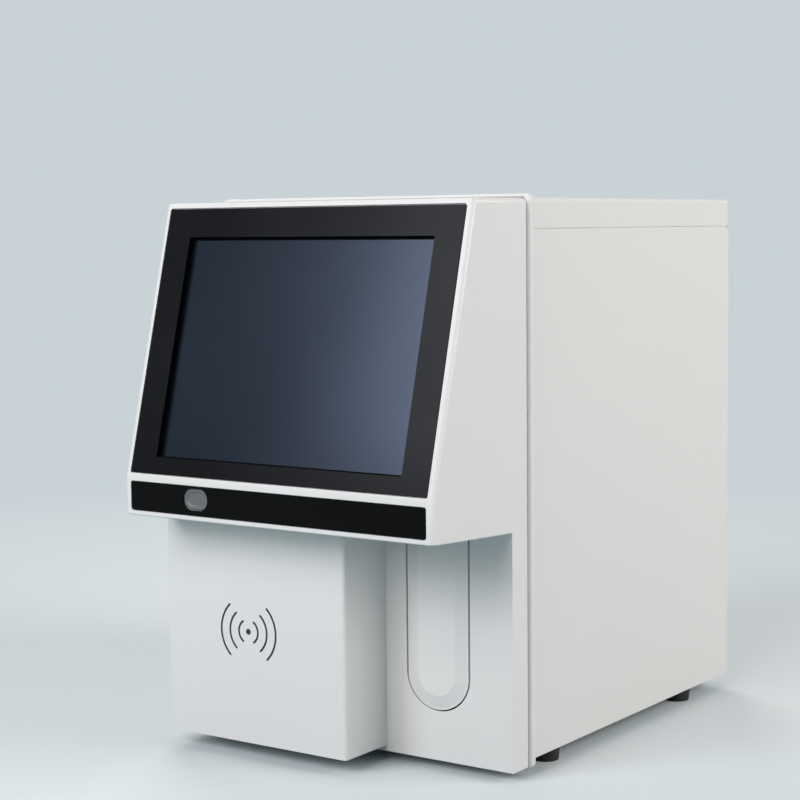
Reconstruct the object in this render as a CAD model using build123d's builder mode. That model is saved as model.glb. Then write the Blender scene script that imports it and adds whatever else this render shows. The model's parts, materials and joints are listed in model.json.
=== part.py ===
from build123d import *
import os
from math import atan2, cos, hypot, radians, sin

os.makedirs("parts", exist_ok=True)

# Bench-top blood cell analyzer, in millimetres.
# The bench is z = 0, the front faces -y and +x is to the right seen from the front.
# The origin lies under the middle of the whole instrument.

# Overall sizes
housing_width = 267.8
body_depth = 431.0
body_height = 391.0
foot_height = 11.5
rear_reach = 24.0

# Clearances
fit = 0.3
slip = 0.08
pin_fit = 0.05
seam = 0.5
# How deep a fused post sinks in, and how far a cut runs past its face
sink = 0.5
over = 1.0

# Front housing
wall = 3.0
housing_drop = 4.5
housing_step = 0.7
panel_setback = 95.5
nose_height = 167.9
nose_fall = 5.0
strip_face = 28.7
top_setback = 51.0
frame_setback = 116.1
face_round = 3.5
nose_round = 1.2
boss_radius = 3.0
post_radius = 2.5
probe_hole_radius = 5.0

# Joint frame between the housing and the body
frame_thickness = 4.8
frame_proud = 2.6
frame_drop = 1.2
frame_width = 14.0
frame_corner = 4.0
groove_width = 0.8
groove_depth = 1.0

# Display
window_side = 27.2
window_top = 25.2
window_bottom = 14.5
bezel_side = 4.75
bezel_top = 3.6
bezel_bottom = 1.6
bezel_recess = 1.8
bezel_gap = 0.7
bezel_ledge = 6.0
bezel_corner = 1.2
window_depth = 4.6
window_wall = 1.6
glass_thickness = 1.1
glass_border = 5.0
lcd_border = 11.3
lcd_border_top = 8.2
ear_out = 3.0
ear_pitch = 120.0
ear_size = 14.0
ear_hole = 1.6
lcd_thickness = 6.0
bracket_sheet = 1.5
bracket_rim_side = 30.0
bracket_rim_end = 40.0
bracket_bar = 24.0
board_thickness = 1.6
display_board_width = 160.0
display_board_height = 100.0
display_board_gap = 7.0
display_board_edge = 10.0
display_sink = 34.0
display_sink_inset = 50.0
display_sink_drop = 40.0
socket_rise = 5.0

# Strip and power button
strip_side = 5.5
strip_top = 3.8
strip_bottom = 3.3
strip_recess = 1.5
strip_gap = 0.5
strip_corner = 2.0
button_side = 66.2
button_rise = 15.1
button_width = 22.0
button_height = 15.6
button_corner = 7.4
button_sink = 1.2
button_travel = 1.2
button_collar = 2.0
button_collar_out = 2.0
button_stem = 1.6
button_switch = 6.0
switch_body = 2.0
switch_key = 1.0
button_board_setback = 13.5
button_post_out = 9.0
button_board_edge = 4.0
spring_radius = 5.6
spring_wire = 1.0

# Start plate in the lower panel
plate_side = 62.0
plate_radius = 25.6
plate_arc_rise = 57.8
plate_gap = 1.2
plate_thickness = 5.0
crown_rim = 1.4
crown_slope = 9.0
crown_height = 2.4
plate_pin_radius = 1.5
plate_pin_setback = 10.0
plate_pin_drop = 11.7
lug_width = 6.0
lug_height = 10.0
ear_height = 7.0
ear_width = 5.0
switch_rise = 82.0
bracket_setback = 14.0
bracket_post_out = 8.0
bracket_post_radius = 4.0
switch_gap = 1.9
bracket_edge = 6.0
switch_bracket_height = 26.0
microswitch_width = 13.0
microswitch_height = 6.0
microswitch_out = 10.0
microswitch_key = 1.2
key_inset = 3.0
plate_spring_radius = 4.0
plate_spring_wire = 0.8

# Reader cover
cover_setback = 45.7
cover_to_plate = 44.6
cover_wall = 2.5
cover_round = 2.5
cover_post_inset = 10.0
mark_side = 74.5
mark_rise = 81.9
reader_board_width = 90.0
reader_board_height = 70.0
reader_post = 3.0
reader_post_edge = 5.0
antenna_margin = 24.0
antenna_pitch = 7.0
antenna_track = 1.6
antenna_height = 0.4
antenna_turns = 3

# Sheet-metal body
sheet = 1.2
side_return = 30.0
top_return = 12.0
lid_skirt = 21.1
relief_width = 1.8
relief_inset = 3.4
case_screw_side = 12.0
case_screw_end = 20.0
base_lip = 12.0
sheet_round = 3.0

# Lid hinges
hinge_side = 45.9
hinge_length = 45.0
hinge_leaf = 16.0
knuckle_radius = 3.0
hinge_pin_radius = 1.5

# Feet
foot_top_radius = 11.0
foot_bottom_radius = 9.8
foot_inset = 15.0
foot_front = 42.0
foot_rear = 61.0
foot_screw_radius = 2.0

# Rear panel fittings
fan_size = 80.0
fan_depth = 25.0
fan_side = 64.7
fan_drop = 112.5
fan_hole_inset = 4.25
fan_hole = 2.2
spider_width = 4.0
spider_depth = 3.0
rotor_gap = 4.0
fan_blades = 7
fan_hub_radius = 17.0
fan_gap = 1.0
guard_wire = 1.1
guard_rings = 4
guard_first = 10.0
guard_pitch = 9.0
spindle_radius = 2.0
blade_thickness = 1.4
blade_chord = 22.0
blade_twist = 38.0
inlet_side = 46.7
inlet_rise = 66.5
inlet_flange = 3.0
inlet_proud = 2.5
inlet_depth = 24.0
inlet_width = 50.0
inlet_height = 58.0
socket_width = 27.0
socket_height = 19.5
socket_depth = 17.0
contact_sink = 5.0
rocker_width = 25.0
rocker_height = 17.0
rocker_tip = 8.0
rocker_neck = 3.0
rocker_crest = 7.4
rocker_dip = 6.0
rocker_end_gap = 0.9
rocker_well = 10.0
port_side = 74.7
port_board_depth = 42.0
port_rise = 160.5
fitting_side = 48.7
fitting_rise = 78.5
fitting_body = 5.0
fitting_hex = 8.0
fitting_tail = 2.6
fitting_barb = 3.6
barb_steps = 3
fitting_pitch_x = 34.0
fitting_pitch_z = 40.0
fitting_bore = 1.5

# Service wall and probe travel
wall_sheet = 2.0
wall_to_probe = 50.0
wall_arm_setback = 80.0
wall_rear_gap = 28.0
wall_arm_rise = 29.0
wall_front_gap = 4.0
wall_flange = 14.0
cable_slot_inset = 40.0
cable_slot_rise = 60.0
cable_slot_length = 50.0
cable_slot_width = 24.0
carriage_clear = 6.6
probe_setback = 72.0
probe_reach = 36.0
travel = 185.0
rail_drop = 42.0
rail_width = 9.0
rail_thickness = 6.5
block_length = 30.0
block_width = 20.0
plate_sheet = 3.0
carriage_width = 44.0
belt_over = 24.0
belt_drop = 56.5
belt_thickness = 1.4
belt_width = 6.0
pulley_radius = 6.2
pulley_flange = 8.0
pulley_bore = 2.5
idler_setback = 92.0
drive_setback = 332.0
travel_motor_size = 35.0
travel_motor_length = 26.0

# Probe lift
lift_rail_width = 7.0
lift_rail_thickness = 5.0
slider_height = 26.0
slider_drop = 9.0
screw_radius = 3.0
screw_out = 11.0
screw_ahead = 14.0
needle_radius = 1.0
needle_rise = 4.0
needle_hub_radius = 3.5
needle_hub = 8.0
needle_over = 14.0
needle_bore = 0.4
small_motor_size = 28.0
small_motor_length = 30.0
arm_thickness = 8.0
wipe_radius = 6.0
wipe_drop = 3.5
wipe_collar = 5.0
wipe_flange = 1.5

# Counting chambers
chamber_size = 36.0
chamber_height = 80.0
chamber_bore = 12.0
chamber_clear = 12.0
first_chamber = 130.0
shelf_sheet = 1.5

# Syringe unit
syringe_setback = 151.0
syringe_width = 46.0
syringe_out = 40.5
syringe_bore = 6.0
barrel_wall = 2.0
barrel_length = 62.0
syringe_shelf = 6.0
syringe_stroke = 28.0
syringe_screw_out = 18.5
carrier_height = 8.0
piston_length = 10.0
plunger_rod = 2.5
piston_lift = 6.0
carrier_width = 14.0
barrel_neck = 2.9
barrel_nipple = 1.9
back_sheet = 4.0

# Pump, valves and electronics
pump_side = 44.7
pump_cradle = 8.0
head_over = 6.0
hose_tail = 2.2
hose_tail_out = 12.0
pump_setback = 185.0
pump_radius = 17.5
pump_length = 56.0
pump_head = 30.0
valve_count = 6
valve_pitch = 24.0
valve_size = 18.0
valve_length = 28.0
manifold_depth = 22.0
valve_rise = 124.0
valve_setback = 165.0
main_board_length = 180.0
main_board_height = 150.0
main_board_setback = 145.0
main_board_rise = 151.0
main_board_inset = 8.0
processor = 40.0
processor_height = 12.0
processor_along = 70.0
processor_up = 80.0
socket_first = 34.0
socket_pitch = 40.0
socket_inset = 14.0
socket_width_low = 26.0
socket_width_high = 20.0
socket_body = 8.0
socket_out = 9.0
capacitor_radius = 6.0
capacitor_height = 16.0
capacitor_first = 112.0
capacitor_pitch = 18.0
capacitor_up = 50.0
memory = 20.0
memory_height = 3.0
memory_along = 122.0
memory_up = 88.0
standoff = 10.0
spacer = 4.0
supply_width = 98.0
supply_length = 129.0
supply_height = 30.0
supply_spacer_inset = 8.0
supply_spacer_end = 12.0
vent_radius = 2.5
vent_pitch = 12.0
vent_depth = 2.0
vent_shift = 8.0
terminal_floor = 14.0
terminal_width = 9.0
terminal_rise = 10.0
terminal_count = 7
supply_side = 7.7
supply_gap = 32.0
terminal_depth = 12.0

# Places that follow from the sizes above
front_y = -(body_depth + rear_reach) / 2
rear_y = front_y + body_depth
half_width = housing_width / 2
base_z = foot_height
top_z = base_z + body_height
lower_z = base_z - housing_drop
housing_top_z = top_z - housing_step
nose_z = base_z + nose_height
kink_z = nose_z + strip_face
panel_y = front_y + panel_setback
frame_y = front_y + frame_setback
needle_y = front_y + probe_setback
body_y = frame_y + frame_thickness
seam_z = top_z - lid_skirt
floor_z = base_z + 2 * sheet
inner_x = half_width - sheet
inner_rear_y = rear_y - sheet
button_x = -half_width + button_side
plate_x = half_width - plate_side
mark_x = -half_width + mark_side
hinge_x = half_width - hinge_side
fan_x = -inner_x + fan_side
inlet_x = -inner_x + inlet_side
port_x = -inner_x + port_side
fitting_x = inner_x - fitting_side
pump_x = -inner_x + pump_side
supply_x = -inner_x + supply_side + supply_width / 2

# The display face leans back from the kink to the housing's top
tilt = atan2(top_setback, housing_top_z - kink_z)
face_length = hypot(top_setback, housing_top_z - kink_z)
face_plane = Plane(
    origin=(0, front_y, kink_z), x_dir=(1, 0, 0), z_dir=(0, -cos(tilt), sin(tilt))
)


def upright(y):
    """Plane facing the front at this depth, whose sketch axes are x and z."""
    return Plane(origin=(0, y, 0), x_dir=(1, 0, 0), z_dir=(0, -1, 0))


def underside(y):
    """Height of the nose's sloping underside at this depth."""
    return nose_z - nose_fall * (y - front_y) / panel_setback


def about(centre, size):
    """Lower and upper limit of a span of this size about its centre."""
    return (centre - size / 2, centre + size / 2)


def block(x, y, z, mode=Mode.ADD):
    """Box between a lower and an upper limit along each axis."""
    with Locations(((x[0] + x[1]) / 2, (y[0] + y[1]) / 2, (z[0] + z[1]) / 2)):
        Box(x[1] - x[0], y[1] - y[0], z[1] - z[0], mode=mode)


def bar(axis, radius, centre, ends, mode=Mode.ADD):
    """Round bar along an axis between two ends; centre's entry on that axis is unused."""
    place = list(centre)
    place["xyz".index(axis)] = (ends[0] + ends[1]) / 2
    turn = {"x": (0, 90, 0), "y": (90, 0, 0), "z": (0, 0, 0)}[axis]
    with Locations(tuple(place)):
        Cylinder(radius, ends[1] - ends[0], rotation=turn, mode=mode)


# Front housing
pocket_width = housing_width - 2 * bezel_side
pocket_height = face_length - bezel_top - bezel_bottom
pocket_centre = bezel_bottom + pocket_height / 2
window_width = housing_width - 2 * window_side
window_height = face_length - window_top - window_bottom
window_centre = window_bottom + window_height / 2
strip_width = housing_width - 2 * strip_side
strip_height = strip_face - strip_top - strip_bottom
strip_centre_z = nose_z + strip_bottom + strip_height / 2
button_z = nose_z + button_rise
arc_z = base_z + plate_arc_rise
plate_opening = plate_radius + plate_gap
plate_top_z = underside(panel_y) - plate_gap
pin_y = panel_y + plate_pin_setback
pin_z = plate_top_z - plate_pin_drop
lug_inner = plate_opening + fit
lug_outer = lug_inner + lug_width
bracket_y = panel_y + bracket_setback
lcd_back = window_depth + fit + glass_thickness + fit + lcd_thickness
lcd_width = window_width + 2 * lcd_border
lcd_height = window_height + 2 * lcd_border_top
ear_x = lcd_width / 2 + ear_out
ear_rises = about(window_centre, ear_pitch)


def u_shape(radius, plane, top):
    """Upright U on a plane: round below, square at its top."""
    with BuildSketch(plane) as outline:
        with Locations((plate_x, arc_z)):
            Circle(radius)
        with Locations((plate_x, (arc_z + top) / 2)):
            Rectangle(2 * radius, top - arc_z)
    return outline.sketch


# Side outline of the housing, as y and z
housing_outline = [
    (panel_y, lower_z),
    (panel_y, underside(panel_y)),
    (front_y, nose_z),
    (front_y, kink_z),
    (front_y + top_setback, housing_top_z),
    (frame_y, housing_top_z),
    (frame_y, lower_z),
]
with BuildPart() as front_housing:
    with BuildSketch(Plane.YZ.offset(-half_width)):
        with BuildLine():
            Polyline(*housing_outline, close=True)
        make_face()
    extrude(amount=housing_width)
    side_edges = front_housing.edges().filter_by(
        lambda e: abs(abs(e.center().X) - half_width) < 0.01
        and e.center().Y < frame_y - 0.1
    )
    fillet(side_edges.filter_by(lambda e: e.center().Z > nose_z), face_round)
    under_edges = front_housing.edges().filter_by(
        lambda e: e.center().Y < panel_y - 1.0
        and underside(panel_y) - 1.0 < e.center().Z < nose_z + 0.1
    )
    fillet(under_edges, nose_round)
    # Hollow, open to the rear
    with BuildSketch(Plane.YZ.offset(wall - half_width)):
        with BuildLine():
            Polyline(*housing_outline, close=True)
        make_face()
        offset(amount=-wall, kind=Kind.INTERSECTION)
        with Locations((frame_y - wall, (lower_z + housing_top_z) / 2)):
            Rectangle(4 * wall, housing_top_z - lower_z - 2 * wall)
    extrude(amount=housing_width - 2 * wall, mode=Mode.SUBTRACT)
    # Shadow groove where the housing meets the joint frame
    with BuildSketch(upright(frame_y)):
        with Locations((0, (lower_z + housing_top_z) / 2)):
            Rectangle(housing_width + 2 * over, housing_top_z - lower_z + 2 * over)
            Rectangle(
                housing_width - 2 * groove_depth,
                housing_top_z - lower_z - 2 * groove_depth,
                mode=Mode.SUBTRACT,
            )
    extrude(amount=groove_width, mode=Mode.SUBTRACT)
    # Pocket and opening for the display
    with BuildSketch(face_plane):
        with Locations((0, pocket_centre)):
            RectangleRounded(pocket_width, pocket_height, bezel_corner + bezel_gap)
    extrude(amount=-bezel_recess, mode=Mode.SUBTRACT)
    with BuildSketch(face_plane):
        with Locations((0, pocket_centre)):
            Rectangle(pocket_width - 2 * bezel_ledge, pocket_height - 2 * bezel_ledge)
    extrude(amount=-2 * wall, mode=Mode.SUBTRACT)
    # Bosses for the LCD bracket
    with BuildSketch(face_plane.offset(-lcd_back)):
        with Locations([(s * ear_x, rise) for s in (-1, 1) for rise in ear_rises]):
            Circle(boss_radius)
    extrude(amount=lcd_back - wall + sink)
    # Pocket for the strip and the button's hole
    with BuildSketch(upright(front_y)):
        with Locations((0, strip_centre_z)):
            RectangleRounded(strip_width, strip_height, strip_corner)
    extrude(amount=-strip_recess, mode=Mode.SUBTRACT)
    with BuildSketch(upright(front_y)):
        with Locations((button_x, button_z)):
            RectangleRounded(button_width, button_height, button_corner)
    extrude(amount=-2 * wall, mode=Mode.SUBTRACT)
    # Posts for the button's board
    for side in (-1, 1):
        post_x = button_x + side * (button_width / 2 + button_post_out)
        post_y = (front_y + wall - sink, front_y + button_board_setback)
        bar("y", post_radius, (post_x, 0, button_z), post_y)
    # Opening for the start plate, and the lugs for its pin
    extrude(
        u_shape(plate_opening, upright(panel_y), underside(panel_y)),
        amount=-wall - over,
        mode=Mode.SUBTRACT,
    )
    for side in (-1, 1):
        lug_x = sorted((plate_x + side * lug_inner, plate_x + side * lug_outer))
        block(lug_x, (panel_y + wall - sink, pin_y + lug_height / 2), about(pin_z, lug_height))
        bar("x", plate_pin_radius + pin_fit, (0, pin_y, pin_z), lug_x, mode=Mode.SUBTRACT)
        post_x = plate_x + side * (plate_opening + bracket_post_out)
        post_y = (panel_y + wall - sink, bracket_y)
        bar("y", bracket_post_radius, (post_x, 0, base_z + switch_rise), post_y)
    # Hole in the nose for the probe
    hole_z = (nose_z - nose_fall - over, nose_z + wall + over)
    bar("z", probe_hole_radius, (plate_x, needle_y, 0), hole_z, mode=Mode.SUBTRACT)
front_housing.part.label = "front_housing"
export_step(front_housing.part, "parts/front_housing.step")

# Joint frame, proud of the housing and the body all round
frame_bottom = lower_z - frame_drop
frame_top = top_z + frame_proud
frame_height = frame_top - frame_bottom
frame_centre_z = (frame_top + frame_bottom) / 2
with BuildPart() as joint_frame:
    with BuildSketch(upright(body_y)):
        with Locations((0, frame_centre_z)):
            RectangleRounded(housing_width + 2 * frame_proud, frame_height, frame_corner)
            Rectangle(
                housing_width + 2 * frame_proud - 2 * frame_width,
                frame_height - 2 * frame_width,
                mode=Mode.SUBTRACT,
            )
    extrude(amount=frame_thickness)
joint_frame.part.label = "joint_frame"
export_step(joint_frame.part, "parts/joint_frame.step")

# Display bezel with its window walls
bezel_width = pocket_width - 2 * bezel_gap
bezel_height = pocket_height - 2 * bezel_gap
with BuildPart() as display_bezel:
    with BuildSketch(face_plane):
        with Locations((0, pocket_centre)):
            RectangleRounded(bezel_width, bezel_height, bezel_corner)
    extrude(amount=-bezel_recess)
    with BuildSketch(face_plane):
        with Locations((0, window_centre)):
            Rectangle(window_width + 2 * window_wall, window_height + 2 * window_wall)
    extrude(amount=-window_depth)
    with BuildSketch(face_plane):
        with Locations((0, window_centre)):
            RectangleRounded(window_width, window_height, 0.8)
    extrude(amount=-window_depth, mode=Mode.SUBTRACT)
display_bezel.part.label = "display_bezel"
export_step(display_bezel.part, "parts/display_bezel.step")

with BuildPart() as touch_glass:
    with BuildSketch(face_plane.offset(-window_depth)):
        with Locations((0, window_centre)):
            Rectangle(window_width + 2 * glass_border, window_height + 2 * glass_border)
    extrude(amount=-glass_thickness)
touch_glass.part.label = "touch_glass"
export_step(touch_glass.part, "parts/touch_glass.step")

lcd_front = window_depth + glass_thickness + fit
with BuildPart() as lcd_module:
    with BuildSketch(face_plane.offset(-lcd_front)):
        with Locations((0, window_centre)):
            Rectangle(lcd_width, lcd_height)
    extrude(amount=-lcd_thickness)
lcd_module.part.label = "lcd_module"
export_step(lcd_module.part, "parts/lcd_module.step")

with BuildPart() as lcd_bracket:
    with BuildSketch(face_plane.offset(-lcd_back)):
        with Locations((0, window_centre)):
            Rectangle(lcd_width, lcd_height)
            Rectangle(
                lcd_width - 2 * bracket_rim_side,
                lcd_height - 2 * bracket_rim_end,
                mode=Mode.SUBTRACT,
            )
        with Locations([(s * ear_x, rise) for s in (-1, 1) for rise in ear_rises]):
            Rectangle(ear_size, ear_size)
        with Locations((0, window_centre)):
            Rectangle(bracket_bar, lcd_height)
            Rectangle(lcd_width, bracket_bar)
        with Locations([(s * ear_x, rise) for s in (-1, 1) for rise in ear_rises]):
            Circle(ear_hole, mode=Mode.SUBTRACT)
    extrude(amount=-bracket_sheet)
lcd_bracket.part.label = "lcd_bracket"
export_step(lcd_bracket.part, "parts/lcd_bracket.step")

display_board_back = lcd_back + bracket_sheet + display_board_gap
with BuildPart() as display_board:
    with BuildSketch(face_plane.offset(-display_board_back)):
        with Locations((0, window_centre)):
            Rectangle(display_board_width, display_board_height)
    extrude(amount=-board_thickness)
    # Spacers to the bracket's cross bar, a processor under its heat sink, and connectors
    with BuildSketch(face_plane.offset(-display_board_back)):
        with Locations((0, window_centre)):
            spacer_x = display_board_width - 2 * display_board_edge
            with GridLocations(spacer_x, bracket_bar - 8.0, 2, 2):
                Circle(post_radius)
    extrude(amount=display_board_gap)
    with BuildSketch(face_plane.offset(-display_board_back - board_thickness)):
        sink_x = -display_board_width / 2 + display_sink_inset
        sink_rise = window_centre + display_board_height / 2 - display_sink_drop
        with Locations((sink_x, sink_rise)):
            Rectangle(display_sink, display_sink)
        edge_x = display_board_width / 2
        edge_rise = display_board_height / 2
        with Locations((edge_x - 40.0, window_centre - edge_rise + 20.0)):
            Rectangle(42.0, 10.0)
        with Locations((edge_x - 30.0, window_centre + edge_rise - 16.0)):
            Rectangle(30.0, 8.0)
    extrude(amount=-socket_rise)
display_board.part.label = "display_board"
export_step(display_board.part, "parts/display_board.step")

# Front strip, flush in its pocket
with BuildPart() as front_strip:
    with BuildSketch(upright(front_y)):
        with Locations((0, strip_centre_z)):
            RectangleRounded(
                strip_width - 2 * strip_gap, strip_height - 2 * strip_gap, strip_corner
            )
        with Locations((button_x, button_z)):
            RectangleRounded(button_width, button_height, button_corner, mode=Mode.SUBTRACT)
    extrude(amount=-strip_recess)
front_strip.part.label = "front_strip"
export_step(front_strip.part, "parts/front_strip.step")

# Power button: a lens in the strip's hole with a collar behind the housing wall
button_front = front_y + button_sink
collar_y = front_y + wall + fit
button_back = collar_y + button_collar
board_front = front_y + button_board_setback
with BuildPart() as power_button:
    with BuildSketch(upright(button_back)):
        with Locations((button_x, button_z)):
            RectangleRounded(button_width - 2 * fit, button_height - 2 * fit, button_corner - fit)
    extrude(amount=button_back - button_front)
    front_rim = power_button.faces().sort_by(Axis.Y)[0].edges()
    fillet(front_rim, 0.8)
    with BuildSketch(upright(button_back)):
        with Locations((button_x, button_z)):
            RectangleRounded(
                button_width + 2 * button_collar_out,
                button_height + 2 * button_collar_out,
                button_corner,
            )
    extrude(amount=button_collar)
    stem_end = board_front - switch_body - switch_key - button_travel - fit
    bar("y", button_stem, (button_x, 0, button_z), (button_back, stem_end))
power_button.part.label = "power_button"
export_step(power_button.part, "parts/power_button.step")

with BuildPart() as power_button_board:
    block(
        about(button_x, button_width + 2 * (button_post_out + button_board_edge)),
        (board_front, board_front + board_thickness),
        about(button_z, button_height + button_board_edge),
    )
    body_front = board_front - switch_body
    block(about(button_x, button_switch), (body_front, board_front), about(button_z, button_switch))
    bar("y", button_switch / 4, (button_x, 0, button_z), (body_front - switch_key, body_front))
power_button_board.part.label = "power_button_board"
export_step(power_button_board.part, "parts/power_button_board.step")

with BuildPart() as power_button_spring:
    spring_y = (button_back, board_front)
    bar("y", spring_radius, (button_x, 0, button_z), spring_y)
    bar("y", spring_radius - spring_wire, (button_x, 0, button_z), spring_y, mode=Mode.SUBTRACT)
power_button_spring.part.label = "power_button_spring"
export_step(power_button_spring.part, "parts/power_button_spring.step")

# Start plate: a crowned U, hung from a pin behind its upper end
with BuildPart() as start_plate:
    extrude(u_shape(plate_radius, upright(panel_y), plate_top_z), amount=-plate_thickness)
    loft(
        [
            u_shape(plate_radius - crown_rim, upright(panel_y), plate_top_z),
            u_shape(
                plate_radius - crown_rim - crown_slope,
                upright(panel_y - crown_height),
                plate_top_z,
            ),
        ]
    )
    for side in (-1, 1):
        ear_end = plate_radius - over
        ear_span = sorted((plate_x + side * (ear_end - ear_width), plate_x + side * ear_end))
        ear_y = (panel_y + plate_thickness - sink, pin_y + ear_height / 2)
        block(ear_span, ear_y, about(pin_z, ear_height))
        bar("x", plate_pin_radius + pin_fit, (0, pin_y, pin_z), ear_span, mode=Mode.SUBTRACT)
start_plate.part.label = "start_plate"
export_step(start_plate.part, "parts/start_plate.step")

with BuildPart() as start_plate_pin:
    bar("x", plate_pin_radius, (0, pin_y, pin_z), about(plate_x, 2 * lug_outer))
start_plate_pin.part.label = "start_plate_pin"
export_step(start_plate_pin.part, "parts/start_plate_pin.step")

# Bracket behind the start plate, with the switch and the return spring
switch_z = base_z + switch_rise
plate_back_y = panel_y + plate_thickness
with BuildPart() as start_switch_bracket:
    block(
        about(plate_x, 2 * (plate_opening + bracket_post_out + bracket_edge)),
        (bracket_y, bracket_y + bracket_sheet),
        about(switch_z, switch_bracket_height),
    )
    for side in (-1, 1):
        bar(
            "y",
            ear_hole,
            (plate_x + side * (plate_opening + bracket_post_out), 0, switch_z),
            (bracket_y, bracket_y + bracket_sheet),
            mode=Mode.SUBTRACT,
        )
start_switch_bracket.part.label = "start_switch_bracket"
export_step(start_switch_bracket.part, "parts/start_switch_bracket.step")

with BuildPart() as start_microswitch:
    key_y = (plate_back_y + switch_gap, plate_back_y + switch_gap + microswitch_key)
    block(
        about(plate_x + microswitch_out, microswitch_width),
        (key_y[1], bracket_y),
        about(switch_z, microswitch_height),
    )
    bar("y", microswitch_key, (plate_x + microswitch_out - key_inset, 0, switch_z), key_y)
start_microswitch.part.label = "start_microswitch"
export_step(start_microswitch.part, "parts/start_microswitch.step")

with BuildPart() as start_plate_spring:
    spring_line = (plate_x - microswitch_out, 0, switch_z)
    bar("y", plate_spring_radius, spring_line, (plate_back_y, bracket_y))
    spring_bore = plate_spring_radius - plate_spring_wire
    bar("y", spring_bore, spring_line, (plate_back_y, bracket_y), mode=Mode.SUBTRACT)
start_plate_spring.part.label = "start_plate_spring"
export_step(start_plate_spring.part, "parts/start_plate_spring.step")

# Reader cover: a box under the left of the nose, open towards the lower panel
cover_y = front_y + cover_setback
cover_left = -half_width - frame_proud
cover_right = plate_x - cover_to_plate
reader_board_y = cover_y + cover_wall + reader_post
with BuildPart() as reader_cover:
    with BuildSketch(Plane.YZ.offset(cover_left)):
        with BuildLine():
            Polyline(
                (cover_y, base_z),
                (cover_y, underside(cover_y) - fit),
                (panel_y, underside(panel_y) - fit),
                (panel_y, base_z),
                close=True,
            )
        make_face()
    extrude(amount=cover_right - cover_left)
    fillet(
        reader_cover.edges().filter_by(Axis.Z).group_by(Axis.Y)[0], cover_round
    )
    with BuildSketch(Plane.YZ.offset(cover_left + cover_wall)):
        with BuildLine():
            Polyline(
                (cover_y + cover_wall, base_z + cover_wall),
                (cover_y + cover_wall, underside(cover_y) - fit - cover_wall),
                (panel_y + 1.0, underside(panel_y + 1.0) - fit - cover_wall),
                (panel_y + 1.0, base_z + cover_wall),
                close=True,
            )
        make_face()
    extrude(amount=cover_right - cover_left - 2 * cover_wall, mode=Mode.SUBTRACT)
    # Posts to the lower panel in the corners, and posts for the reader board
    for x in (-half_width + cover_post_inset, cover_right - cover_post_inset):
        for z in (base_z + cover_post_inset, underside(panel_y) - cover_post_inset - cover_wall):
            bar("y", bracket_post_radius, (x, 0, z), (cover_y + cover_wall - sink, panel_y))
    mark_z = base_z + mark_rise
    for x in about(mark_x, reader_board_width - 2 * reader_post_edge):
        for z in about(mark_z, reader_board_height - 2 * reader_post_edge):
            bar("y", post_radius, (x, 0, z), (reader_board_y - reader_post - sink, reader_board_y))
reader_cover.part.label = "reader_cover"
export_step(reader_cover.part, "parts/reader_cover.step")

with BuildPart() as reader_board:
    block(
        about(mark_x, reader_board_width),
        (reader_board_y, reader_board_y + board_thickness),
        about(mark_z, reader_board_height),
    )
    # Antenna turns on the front, chips and a connector behind
    for turn in range(antenna_turns):
        for mode, shrink in ((Mode.ADD, 0.0), (Mode.SUBTRACT, antenna_track)):
            inset = antenna_margin + antenna_pitch * turn + 2 * shrink
            block(
                about(mark_x, reader_board_width - inset),
                (reader_board_y - antenna_height, reader_board_y),
                about(mark_z, reader_board_height - inset),
                mode=mode,
            )
    block(
        about(mark_x + 24.0, 12.0),
        (reader_board_y + board_thickness, reader_board_y + board_thickness + 1.5),
        about(mark_z, 12.0),
    )
    block(
        about(mark_x - 30.0, 8.0),
        (reader_board_y + board_thickness, reader_board_y + board_thickness + 6.0),
        about(mark_z - 20.0, 18.0),
    )
reader_board.part.label = "reader_board"
export_step(reader_board.part, "parts/reader_board.step")

# Chassis base: a tray with its four edges turned up
base_left, base_right = -inner_x + fit, inner_x - fit
base_front, base_rear = body_y, inner_rear_y - sheet
foot_places = [
    (side * (half_width - foot_inset), y)
    for side in (-1, 1)
    for y in (body_y + foot_front, rear_y - foot_rear)
]
with BuildPart() as chassis_base:
    block((base_left, base_right), (base_front, base_rear), (base_z + sheet, floor_z))
    block((base_left, base_right), (base_front, base_front + sheet), (floor_z, floor_z + base_lip))
    block((base_left, base_right), (base_rear - sheet, base_rear), (floor_z, floor_z + base_lip))
    block((base_left, base_left + sheet), (base_front, base_rear), (floor_z, floor_z + base_lip))
    block((base_right - sheet, base_right), (base_front, base_rear), (floor_z, floor_z + base_lip))
    for x, y in foot_places:
        bar("z", foot_screw_radius + fit, (x, y, 0), (base_z, floor_z), mode=Mode.SUBTRACT)
chassis_base.part.label = "chassis_base"
export_step(chassis_base.part, "parts/chassis_base.step")

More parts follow.
